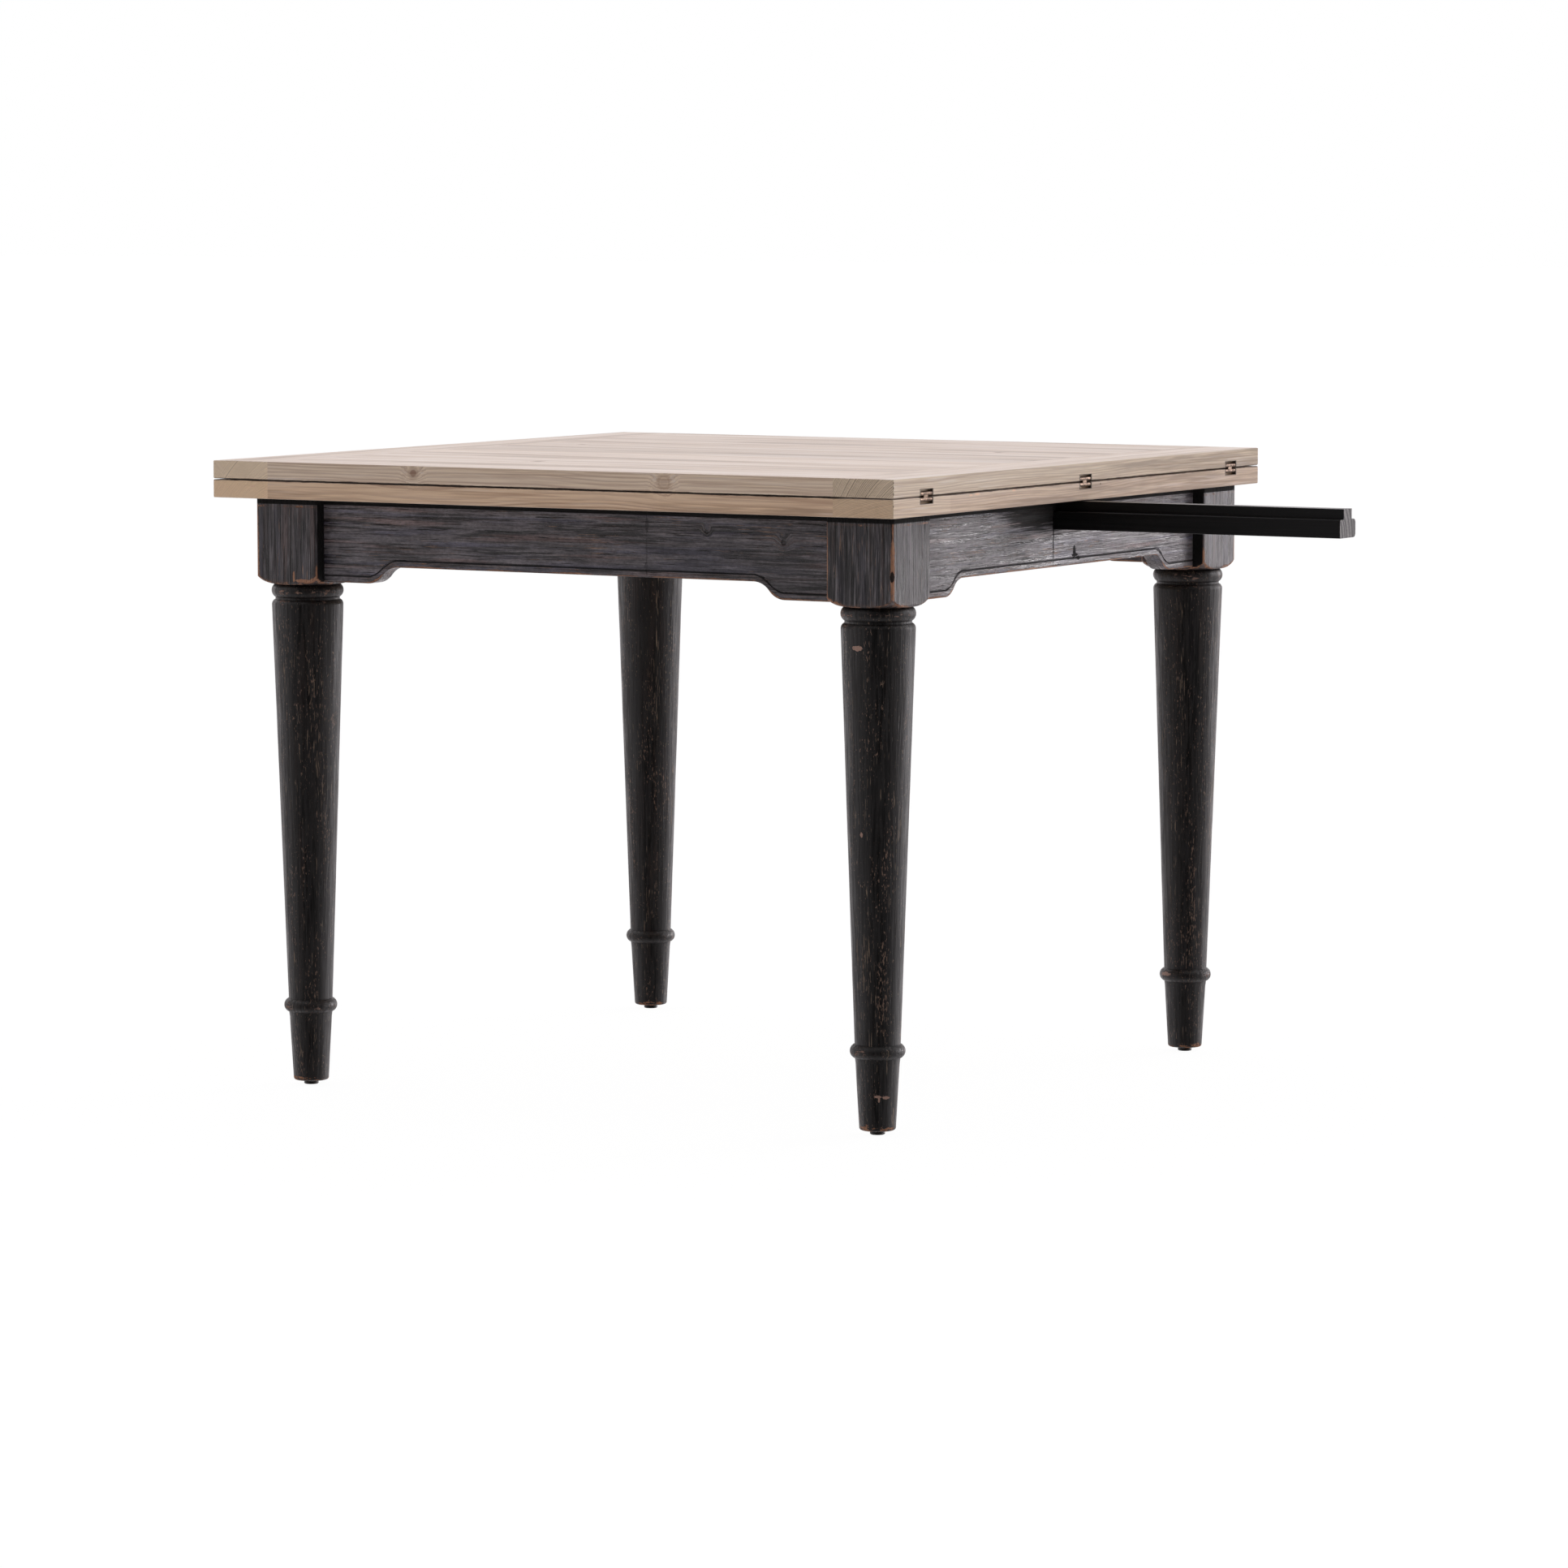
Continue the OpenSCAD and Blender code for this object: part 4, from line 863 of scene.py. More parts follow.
@once
def turned_form():
    """A form turned from a profile, with optional flats, a cut corner, a thread and a driver recess."""
    sizes = {
        "Flats": 4.0, "Half across flats": FAR, "Corner radius": 0.001, "Corner crowding": 1.0,
        "Cut distance": FAR, "Cut angle": 0.0, "Cut above": FAR,
        "Thread pitch": 0.001, "Thread depth": 0.0, "Thread from": 0.0, "Thread to": 0.0,
        "Recess width": 0.0005, "Recess reach": 0.001, "Recess depth": 0.0, "Recess above": FAR,
        "Recess cross": 0.0, "Unevenness": 0.0, "Seed": 0.0,
    }
    b = new_tree(
        "Turned form",
        [("Profile", "Geometry"), ("Sides", "Int", 32), *((name, "Float", v) for name, v in sizes.items())],
        [("Form", "Geometry")], "GeometryNodeTree")
    g = b.given

    def above(value, limit):
        return b.math("GREATER_THAN", value, limit)

    def below(value, limit):
        return b.math("LESS_THAN", value, limit)

    # A grid with a row for each point of the profile, and columns all the way round
    profile = {"Geometry": g["Profile"]}
    rows = b.out("GeometryNodeAttributeDomainSize", profile, "Point Count", component="MESH")
    sides = {"Size X": 1.0, "Size Y": 1.0, "Vertices X": g["Sides"] + 1.0, "Vertices Y": rows}
    grid = b.out("GeometryNodeMeshGrid", sides, "Mesh")
    index = b.out("GeometryNodeInputIndex")
    column = b.math("FLOOR", (index + 0.5) / rows)
    row = index - column * rows + 0.25
    point = b.out(
        "GeometryNodeSampleIndex", {**profile, "Value": b.out("GeometryNodeInputPosition"), "Index": row},
        data_type="FLOAT_VECTOR", domain="POINT")
    radius, _, height = b.split(point)

    # Angle of a column, crowded towards the corners of the flats
    share = column * g["Flats"] / g["Sides"]
    flat = b.math("FLOOR", share + 0.0001)
    off = b.math("MULTIPLY_ADD", share - flat, 2.0, -1.0)
    off = b.math("SIGN", off) * b.math("POWER", abs(off), g["Corner crowding"])
    step = 2 * math.pi / g["Flats"]
    half = step * 0.5
    angle = b.math("MULTIPLY_ADD", flat + 0.5, step, off * half)

    # Distance to the flats with their rounded corners
    past = abs(off) * half
    from_flat = half - past
    straight = g["Half across flats"] / b.math("COSINE", from_flat)
    inner = g["Half across flats"] - g["Corner radius"]
    centre = inner / b.math("COSINE", half)
    reach = centre * b.math("SINE", past)
    depth = b.math("POWER", g["Corner radius"], 2.0) - b.math("POWER", reach, 2.0)
    rounded = b.math("MULTIPLY_ADD", centre, b.math("COSINE", past), b.math("SQRT", b.most(depth, 0.0)))
    at_corner = above(g["Half across flats"] * b.math("TANGENT", from_flat), inner * b.math("TANGENT", half))
    square = b.math("MULTIPLY_ADD", at_corner, rounded - straight, straight)
    radius = b.least(radius, square)

    # A flat across one corner, above a height
    lean = b.math("COSINE", angle - g["Cut angle"])
    limit = g["Cut distance"] / b.most(lean, 0.05)
    radius = b.least(radius, b.math("MULTIPLY_ADD", below(height, g["Cut above"]), FAR, limit))

    # Thread
    rise = height / g["Thread pitch"] - angle / (2 * math.pi)
    groove = abs(b.math("MULTIPLY_ADD", b.math("FRACT", rise), 2.0, -1.0))
    inside = above(height, g["Thread from"]) * below(height, g["Thread to"])
    radius = radius - groove * inside * g["Thread depth"]

    # Driver recess
    x = radius * b.math("COSINE", angle)
    y = radius * b.math("SINE", angle)
    slot = below(abs(y), g["Recess width"])
    other = below(abs(x), g["Recess width"]) * g["Recess cross"]
    inside = b.most(slot, other) * below(radius, g["Recess reach"]) * above(height, g["Recess above"])
    height = height - inside * g["Recess depth"]

    # Hand-worn unevenness
    spot = {"Vector": b.join(x, y, height), "Scale": 38.0, "Detail": 2.0, "W": g["Seed"]}
    wave = b.out("ShaderNodeTexNoise", spot, noise_dimensions="4D")
    swell = b.math("MULTIPLY_ADD", (wave - 0.5) * 2.0, g["Unevenness"], radius) * above(radius, 1e-6)
    place = b.join(swell * b.math("COSINE", angle), swell * b.math("SINE", angle), height)
    shaped = b.out("GeometryNodeSetPosition", {"Geometry": grid, "Position": place})
    return b.give({"Form": b.out("GeometryNodeMergeByDistance", {"Geometry": shaped, "Distance": 1e-6})})


@once
def set_in_place():
    """Stands a turned form on every point, each looking along the point's own way."""
    form = turned_form()
    sizes = [s for s in inputs_of(form) if s.name != "Profile"]
    b = new_tree(
        "Turned forms set in place",
        [("Places", "Geometry"), ("Profile object", "Object"), ("Finish", "Material")]
        + [(s.name, s.socket_type.removeprefix("NodeSocket"), s.default_value) for s in sizes],
        [("Pieces", "Geometry")], "GeometryNodeTree")
    outline = b.out("GeometryNodeObjectInfo", {"Object": b.given["Profile object"]}, "Geometry")
    given = {s.name: b.given[s.name] for s in sizes}
    one = b.out("GeometryNodeGroup", {"Profile": outline, **given}, node_tree=form)
    way = b.out("GeometryNodeInputNamedAttribute", {"Name": "way"}, data_type="FLOAT_VECTOR")
    turn = b.out("FunctionNodeAlignRotationToVector", {"Vector": way}, axis="Z")
    stood = {"Points": b.given["Places"], "Instance": one, "Rotation": turn}
    solid = b.out("GeometryNodeRealizeInstances", {"Geometry": b.out("GeometryNodeInstanceOnPoints", stood)})
    finished = {"Geometry": solid, "Material": b.given["Finish"]}
    return b.give({"Pieces": b.out("GeometryNodeSetMaterial", finished)})


def plain_object(name, points):
    """An object with points alone."""
    mesh = bpy.data.meshes.new(name)
    mesh.from_pydata([tuple(map(float, p)) for p in points], [], [])
    thing = bpy.data.objects.new(name, mesh)
    bpy.context.scene.collection.objects.link(thing)
    return thing


def turn_pieces(name, profile, spots, slot, **sizes):
    """Turns a profile, given as (radius, height) in metres, at every (point, way), as one plain mesh."""
    outline = plain_object(name + "_profile", [(r, 0.0, z) for r, z in profile])
    places = plain_object(name + "_places", [point for point, _ in spots])
    keep_values(places.data, "way", [tuple(way) for _, way in spots])
    tree = set_in_place()
    worker = places.modifiers.new("Turned forms", "NODES")
    worker.node_group = tree
    known = {s.name: s.identifier for s in inputs_of(tree)}
    worker[known["Profile object"]] = outline
    worker[known["Finish"]] = FINISHES[slot]()
    for size, value in sizes.items():
        label = size.replace("_", " ").capitalize()
        worker[known[label]] = int(value) if label == "Sides" else float(value)
    places.data.update()
    graph = bpy.context.evaluated_depsgraph_get()
    mesh = bpy.data.meshes.new_from_object(places.evaluated_get(graph), depsgraph=graph)
    mesh.name = name
    places.modifiers.remove(worker)
    for thing in (outline, places):
        old = thing.data
        bpy.data.objects.remove(thing)
        bpy.data.meshes.remove(old)
    bm = bmesh.new()
    bm.from_mesh(mesh)
    bmesh.ops.recalc_face_normals(bm, faces=bm.faces)
    bm.to_mesh(mesh)
    bm.free()
    if "way" in mesh.attributes:
        mesh.attributes.remove(mesh.attributes["way"])
    return mesh


def set_turned(node, ending, body, slot, profile, spots, **sizes):
    """Turns a node's form at each of its places and lets the result stand for it."""
    name = f"{node}_{ending}"
    stand_for(name, turn_pieces(name, profile, spots, slot, **sizes), body, slot, node)


def bow(r, z, radius, start, end, steps):
    """Points along an arc of a profile, in millimetres and degrees."""
    angles = (math.radians(start + (end - start) * i / steps) for i in range(steps + 1))
    return [(r + radius * math.cos(a), z + radius * math.sin(a)) for a in angles]


def in_metres(profile):
    return [(r * MM, z * MM) for r, z in profile]


# ---------------------------------------------------------------- legs

# In millimetres
SHOULDER = (39.4, 648.8, 30.0)  # radius and height of the arc's centre, and its radius
BLOCK_HALF = 44.5
BLOCK_TOP = 724.8
CORNER_CUT = 55.86  # from the leg's middle to the flat across its inner corner
CUT_ABOVE = 648.8


def leg_profile():
    """The leg's turning from the sole to the top of its block, in millimetres."""
    foot, waist, shaft_top = (21.6, 8.5), (26.7, 98.7), (43.7, 593.2)
    ring_r, ring_z, ring_size = 23.67, 98.7, 8.93
    bead_r, bead_z, bead_size = 34.21, 610.5, 9.79
    past_block = 66.0

    def body(z):
        low, high = (foot, waist) if z < waist[1] else (waist, shaft_top)
        return low[0] + (high[0] - low[0]) * (z - low[1]) / (high[1] - low[1])

    points = [(0.0, 5.5), (9.0, 5.5), (16.0, 5.5)]
    points += bow(18.6, 8.5, 3.0, -90, 0, 5)
    points += [(body(z), z) for z in np.linspace(14, 84, 8)]
    for z in np.linspace(-8.4, 8.4, 25):
        circle = ring_r + math.sqrt(max(ring_size ** 2 - z ** 2, 0.0))
        points.append((max(circle, body(ring_z + z)), ring_z + z))
    points += [(body(z), z) for z in np.linspace(112, 586, 42)]
    points += bow(36.7, 593.2, 7.0, 0, 67.3, 8)
    points += [(39.4, 600.9), (39.4, 601.8)]
    for z in np.linspace(-8.3, 8.3, 21):
        points.append((bead_r + math.sqrt(bead_size ** 2 - z ** 2), bead_z + z))
    points += bow(*SHOULDER, -89, -35.2, 30)
    block = (633.0, 640.0, 648.6, 649.0, 660.0, 680.0, 700.0, 715.0, 722.0, BLOCK_TOP)
    return points + [(past_block, z) for z in block] + [(30.0, BLOCK_TOP), (0.0, BLOCK_TOP)]


def leg_wear(local, inward):
    """How worn each point of a leg is, how much of it is turned, and where the rails set it in shade."""

    def rise(values, start, width):
        return np.clip((values - start) / width, 0, 1)

    def within(low, high):
        return (z > low) & (z < high)

    x, y, z = np.abs(local[:, 0]), np.abs(local[:, 1]), local[:, 2]
    inward_x, inward_y = local[:, 0] * inward[0], local[:, 1] * inward[1]
    outer = (inward_x < 0) & (inward_y < 0)
    r = np.hypot(x, y)
    half, (sr, sz, size) = BLOCK_HALF * MM, [v * MM for v in SHOULDER]
    start = np.where(outer & (z < 0.695), 0.0385, 0.0402)
    corner = rise(np.minimum(x, y), start, 0.0030) * (z > 0.628)
    front_right = inward[0] < 0 < inward[1]
    hidden = np.where((inward_x > 0) & front_right, 0.95, 0.4)
    corner *= np.where(outer | (z < 0.645), 1.0, hidden)
    square = np.hypot(half, np.minimum(np.minimum(x, y), half))
    crease = sz - np.sqrt(np.clip(size ** 2 - (square - sr) ** 2, 0, None))
    shoulder = np.exp(-np.abs(z - crease) / 0.0045) * within(0.6185, 0.645)
    bead = rise(r, 0.0405, 0.004) * within(0.601, 0.6187) * 0.83
    lip = rise(z, 0.5905, 0.006) * ((z < 0.6006) & (r > 0.038)) * 0.50
    ring = rise(r, 0.0285, 0.004) * within(0.089, 0.108) * 0.62
    sole = rise(-z, -0.019, 0.011)
    wear = np.max([corner, shoulder, bead, lip, ring, sole], axis=0)
    turned = 1 - rise(z, 0.6190, 0.003)
    # Painted shade: the strips of the blocks beside the set-in rails are kept as recess, to be painted dark
    beside_rail = (inward_x > 0.0440) & (inward_y < -0.0285) | (inward_y > 0.0440) & (inward_x < -0.0285)
    return {"wear": wear, "turned": turned, "recess": beside_rail & (z > 0.6235)}


class TurnedLegs(bpy.types.Operator):
    """Turn the four legs, each with its square block, bead, tapered shaft, ankle ring and foot"""

    bl_idname = "table.turned_legs"
    bl_label = "Turned legs"

    def execute(self, context):
        look = context.scene.table_paint
        for seed, node in enumerate(LEG_NAMES):
            name = node + "_turned"
            x, y, _ = middle_of(*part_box(node))
            mesh = turn_pieces(
                name, in_metres(leg_profile()), [((x, y, 0.0), UP)], "charcoal_paint",
                sides=128, flats=4, half_across_flats=BLOCK_HALF * MM, corner_radius=look.block_edge,
                corner_crowding=1.6, cut_distance=CORNER_CUT * MM, cut_angle=math.atan2(-y, -x),
                cut_above=CUT_ABOVE * MM, unevenness=look.unevenness, seed=3.7 * seed + 1.3)
            lay_grain(mesh, "z", 40 + seed, heart=(0.02, 0.09))
            local = points_of(mesh) - np.array([x, y, 0.0], dtype=np.float32)
            for value, values in leg_wear(local, (-math.copysign(1, x), -math.copysign(1, y))).items():
                keep_values(mesh, value, values)
            stand_for(name, mesh, "frame", "charcoal_paint", node)
        return {"FINISHED"}


# ---------------------------------------------------------------- boards, rails, slide and hinges


class Aprons(bpy.types.Operator):
    """Ease and paint the four arched rails"""

    bl_idname = "table.aprons"
    bl_label = "Aprons"

    def execute(self, context):
        ease = context.scene.table_paint.rail_ease
        for seed, name in enumerate(APRON_NAMES):
            grain = ("x_up" if name in ("apron_front", "apron_back") else "y_up", 60 + seed)
            set_eased(name, "painted", "frame", "charcoal_paint", ease, grain, {"rail": 1.0}, shortest=0.0012)
        return {"FINISHED"}


class LeafBoards(bpy.types.Operator):
    """Ease and wash the planks and end boards of both leaves"""

    bl_idname = "table.leaf_boards"
    bl_label = "Leaf boards"

    def execute(self, context):
        look = context.scene.table_top
        for leaf, first_seed in (("lower", 200), ("upper", 100)):
            ends = [f"{leaf}_end_board_left", f"{leaf}_end_board_right"]
            low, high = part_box(ends[0])[0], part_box(ends[1])[1]

            def on_rim(first, last, low=low, high=high):
                """Whether an edge runs along two of the leaf's outer faces."""
                faces = 0
                for a, b, near, far in zip(first, last, low, high):
                    faces += abs(a - b) < 1e-5 and min(abs(a - near), abs(a - far)) < 1e-5
                return faces >= 2

            planks = [f"{leaf}_plank_{i}" for i in range(1, PLANK_COUNT + 1)]
            for seed, name in enumerate(planks + ends, first_seed):
                across = name in ends
                set_eased(
                    name, "washed", LEAF_BODY[leaf], "whitewashed_pine", look.joint_ease,
                    ("y" if across else "x", seed, (0.05, 0.075)), {"crosswise": float(across)},
                    shortest=0.02, rim=(look.rim_ease, on_rim))
        return {"FINISHED"}


class SupportSlide(bpy.types.Operator):
    """Ease and lacquer the slide and set its stop peg"""

    bl_idname = "table.support_slide"
    bl_label = "Support slide"

    def execute(self, context):
        ease = context.scene.table_paint.slide_ease
        set_eased(
            "support_slide", "lacquered", "support_slide", "slide_black", ease, ("x", 90, (0.02, 0.03)),
            shortest=0.004)
        low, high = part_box("slide_peg")
        x, y, _ = middle_of(low, high)
        half, tall = (high.x - low.x) / 2, high.z - low.z
        profile = [(0.0, 0.0), (half - 0.0008, 0.0), (half - 0.0003, 0.0002), (half, 0.0008)]
        profile += [(half, 0.0008 + (tall - 0.0016) * i / 4) for i in range(1, 5)]
        profile += [(half - 0.0003, tall - 0.0002), (half - 0.0008, tall), (0.0, tall)]
        mesh = turn_pieces(
            "slide_peg_turned", profile, [((x, y, low.z), UP)], "plain_wood", sides=40, unevenness=0.00004,
            seed=5.0)
        lay_grain(mesh, "z", 91, heart=(0.004, 0.008))
        stand_for("slide_peg_turned", mesh, "support_slide", "plain_wood", "slide_peg")
        return {"FINISHED"}


class FoldHinges(bpy.types.Operator):
    """Ease and tarnish the hinge plates and links, and turn their pins"""

    bl_idname = "table.fold_hinges"
    bl_label = "Fold hinges"

    def execute(self, context):
        ease = context.scene.table_fittings.plate_ease
        for place in HINGE_PLACES:
            for node, body, shortest in (
                (f"hinge_plate_lower_{place}", "frame", 0.0011),
                (f"hinge_plate_upper_{place}", "upper_leaf", 0.0011),
                (f"hinge_link_{place}", "hinge_links", 0.0003),
            ):
                set_eased(node, "worn", body, "antique_brass", ease, shortest=shortest, turn=40.0)
        for leaf in LEAVES:
            node = f"hinge_pins_{leaf}"
            solids = solids_of(node)
            half = float(solids[0][:, 0].max() - solids[0][:, 0].min()) / 2
            long = float(solids[0][:, 1].max() - solids[0][:, 1].min())
            spots = [((s[:, 0].mean(), s[:, 1].min(), s[:, 2].mean()), (0.0, 1.0, 0.0)) for s in solids]
            crown = half * 0.45
            dome = [(half * math.cos(a), crown * math.sin(a)) for a in np.linspace(0, math.pi / 2, 6)]
            profile = [(r, crown - z) for r, z in reversed(dome)] + [(r, long - crown + z) for r, z in dome]
            set_turned(node, "turned", LEAF_BODY[leaf], "antique_brass", profile, spots,
                       sides=28, unevenness=0.00001)
        return {"FINISHED"}


class UnderframeWood(bpy.types.Operator):
    """Ease the corner braces, bearer, guide strips, end stop and buttons of bare softwood"""

    bl_idname = "table.underframe_wood"
    bl_label = "Underframe wood"

    def execute(self, context):
        ease = context.scene.table_top.joint_ease * 1.5
        runs = {
            "brace_front_left": "z", "brace_front_right": "z", "brace_back_left": "z",
            "brace_back_right": "z", "cross_bearer": "y", "guide_strip_front": "x",
            "guide_strip_back": "x", "slide_end_stop": "y", "top_buttons": "x",
        }
        for seed, (name, run) in enumerate(runs.items(), 300):
            set_eased(name, "planed", "frame", "plain_wood", ease, (run, seed, (0.02, 0.05)), shortest=0.006)
        return {"FINISHED"}


# ---------------------------------------------------------------- screws, bolts, glides and bumpers


def screw_profile(length, shank, head, rows):
    """A countersunk wood screw with its head's face at height 0, in metres."""
    sink = (head - shank) / 2
    points = [(0.0, -length), (shank * 0.10, -length + shank * 0.2), (shank * 0.36, -length + shank * 0.9)]
    low, high = -length + shank * 1.3, -sink - shank * 0.5
    points += [(shank / 2, low + (high - low) * i / rows) for i in range(rows + 1)]
    points += [(shank / 2 * 0.97, -sink - shank * 0.1), (shank / 2, -sink)]
    points += [(head / 2 - 0.00012, -0.00038), (head / 2, -0.00024), (head / 2 - 0.00005, -0.00006)]
    face = (0.95, 0.85, 0.75, 0.65, 0.55, 0.46, 0.38, 0.30, 0.22, 0.14, 0.07, 0.0)
    return points + [(head / 2 * share, 0.0) for share in face]


class WoodScrews(bpy.types.Operator):
    """Set the threaded screws of the frame and the hinges where the frame has them"""

    bl_idname = "table.wood_screws"
    bl_label = "Wood screws"

    def execute(self, context):
        for node, body, slot, length, shank, cross in (
            ("frame_screws", "frame", "zinc_steel", 0.028, 0.004, 1.0),
            ("hinge_screws_lower", "frame", "antique_brass", 0.014, 0.0032, 0.0),
            ("hinge_screws_upper", "upper_leaf", "antique_brass", 0.014, 0.0032, 0.0),
        ):
            head = shank * 2
            pitch = context.scene.table_fittings.thread_pitch * shank / 0.004
            set_turned(
                node, "cut", body, slot, screw_profile(length, shank, head, int(5 * length / pitch)),
                [lie_of(s) for s in solids_of(node)], sides=20, thread_pitch=pitch, thread_depth=shank * 0.16,
                thread_from=-length + shank, thread_to=-length * 0.3, recess_cross=cross,
                recess_width=head * (0.085 if cross else 0.075), recess_reach=head * (0.27 if cross else 0.6),
                recess_depth=head * 0.14, recess_above=-0.00001)
        return {"FINISHED"}


class CornerBolts(bpy.types.Operator):
    """Cut the hanger bolts, and make their washers and nuts"""

    bl_idname = "table.corner_bolts"
    bl_label = "Corner bolts"

    def execute(self, context):
        length, half, rows = 0.0905, 0.004, 110
        bolts = []
        for solid in solids_of("hanger_bolts"):
            point, way = lie_of(solid)
            if way @ np.array([point[0], point[1], 0.0]) > 0:
                point, way = point - way * length, -way
            bolts.append((point, way))
        profile = [(0.0, -length), (half * 0.5, -length), (half * 0.8, -length + 0.0006)]
        profile += [(half, -length + 0.002 + (length - 0.003) * i / rows) for i in range(rows + 1)]
        profile += [(half * 0.8, -0.0003), (half * 0.5, 0.0), (0.0, 0.0)]
        set_turned(
            "hanger_bolts", "cut", "frame", "zinc_steel", profile, bolts, sides=24, thread_pitch=0.0017,
            thread_depth=0.00055, thread_from=-length, thread_to=0.0)

        for node, flats, crowd, across, wide, bore, thick, ease in (
            ("bolt_washers", 4, 1.0, FAR, 0.012, 0.0040, 0.002, 0.00025),
            ("bolt_nuts", 6, 1.4, 0.0065, 0.00751, 0.0034, 0.0065, 0.0009),
        ):
            spots = []
            for solid in solids_of(node):
                _, way = lie_of(solid, flat=True)
                middle = (solid.min(0) + solid.max(0)) / 2
                way = way if way @ np.array([middle[0], middle[1], 0.0]) < 0 else -way
                spots.append((middle - way * thick / 2, way))
            foot = [(bore, 0.0004), (bore + 0.0004, 0.0), (wide - ease, 0.0)]
            foot += [(wide - ease * 0.3, ease * 0.25), (wide, ease * 0.6)]
            profile = foot + [(r, thick - z) for r, z in reversed(foot)] + [(bore, thick * 0.5), foot[0]]
            set_turned(
                node, "cut", "frame", "zinc_steel", profile, spots, sides=48, flats=flats,
                corner_crowding=crowd, half_across_flats=across, corner_radius=0.0002)
        return {"FINISHED"}


class GlidesAndBumpers(bpy.types.Operator):
    """Turn the nail-in glides under the feet and the clear domes between the leaves"""

    bl_idname = "table.glides_and_bumpers"
    bl_label = "Glides and bumpers"

    def execute(self, context):
        feet = [((*middle_of(*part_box(leg))[:2], 0.0), UP) for leg in LEG_NAMES]
        profile = [(0.0, 0.0), (5.0, 0.0), (7.2, 0.15), *bow(7.4, 1.6, 1.6, -70, 20, 6)]
        profile += [(8.8, 4.2), (8.4, 5.1), (7.8, 5.5)]
        profile += [(1.3, 5.5), (1.25, 8.0), (1.25, 15.0), (0.5, 18.0), (0.0, 18.6)]
        set_turned("foot_glides", "turned", "frame", "glide_plastic", in_metres(profile), feet, sides=48)
        solids = solids_of("leaf_bumpers")
        spots = [((*((s.min(0) + s.max(0)) / 2)[:2], s[:, 2].min()), UP) for s in solids]
        radius, rim = 0.0040, 0.0001
        tall = float(solids[-1][:, 2].max() - solids[-1][:, 2].min())
        profile = [(0.0, 0.0), (0.0030, 0.0), (0.0039, 0.0), (radius, rim)]
        for a in np.linspace(0.15, 1.35, 9):
            profile.append((radius * math.cos(a), rim + (tall - rim) * math.sin(a)))
        profile.append((0.0, tall))
        set_turned("leaf_bumpers", "domed", "frame", "bumper_clear", profile, spots, sides=36)
        return {"FINISHED"}


# ---------------------------------------------------------------- stage


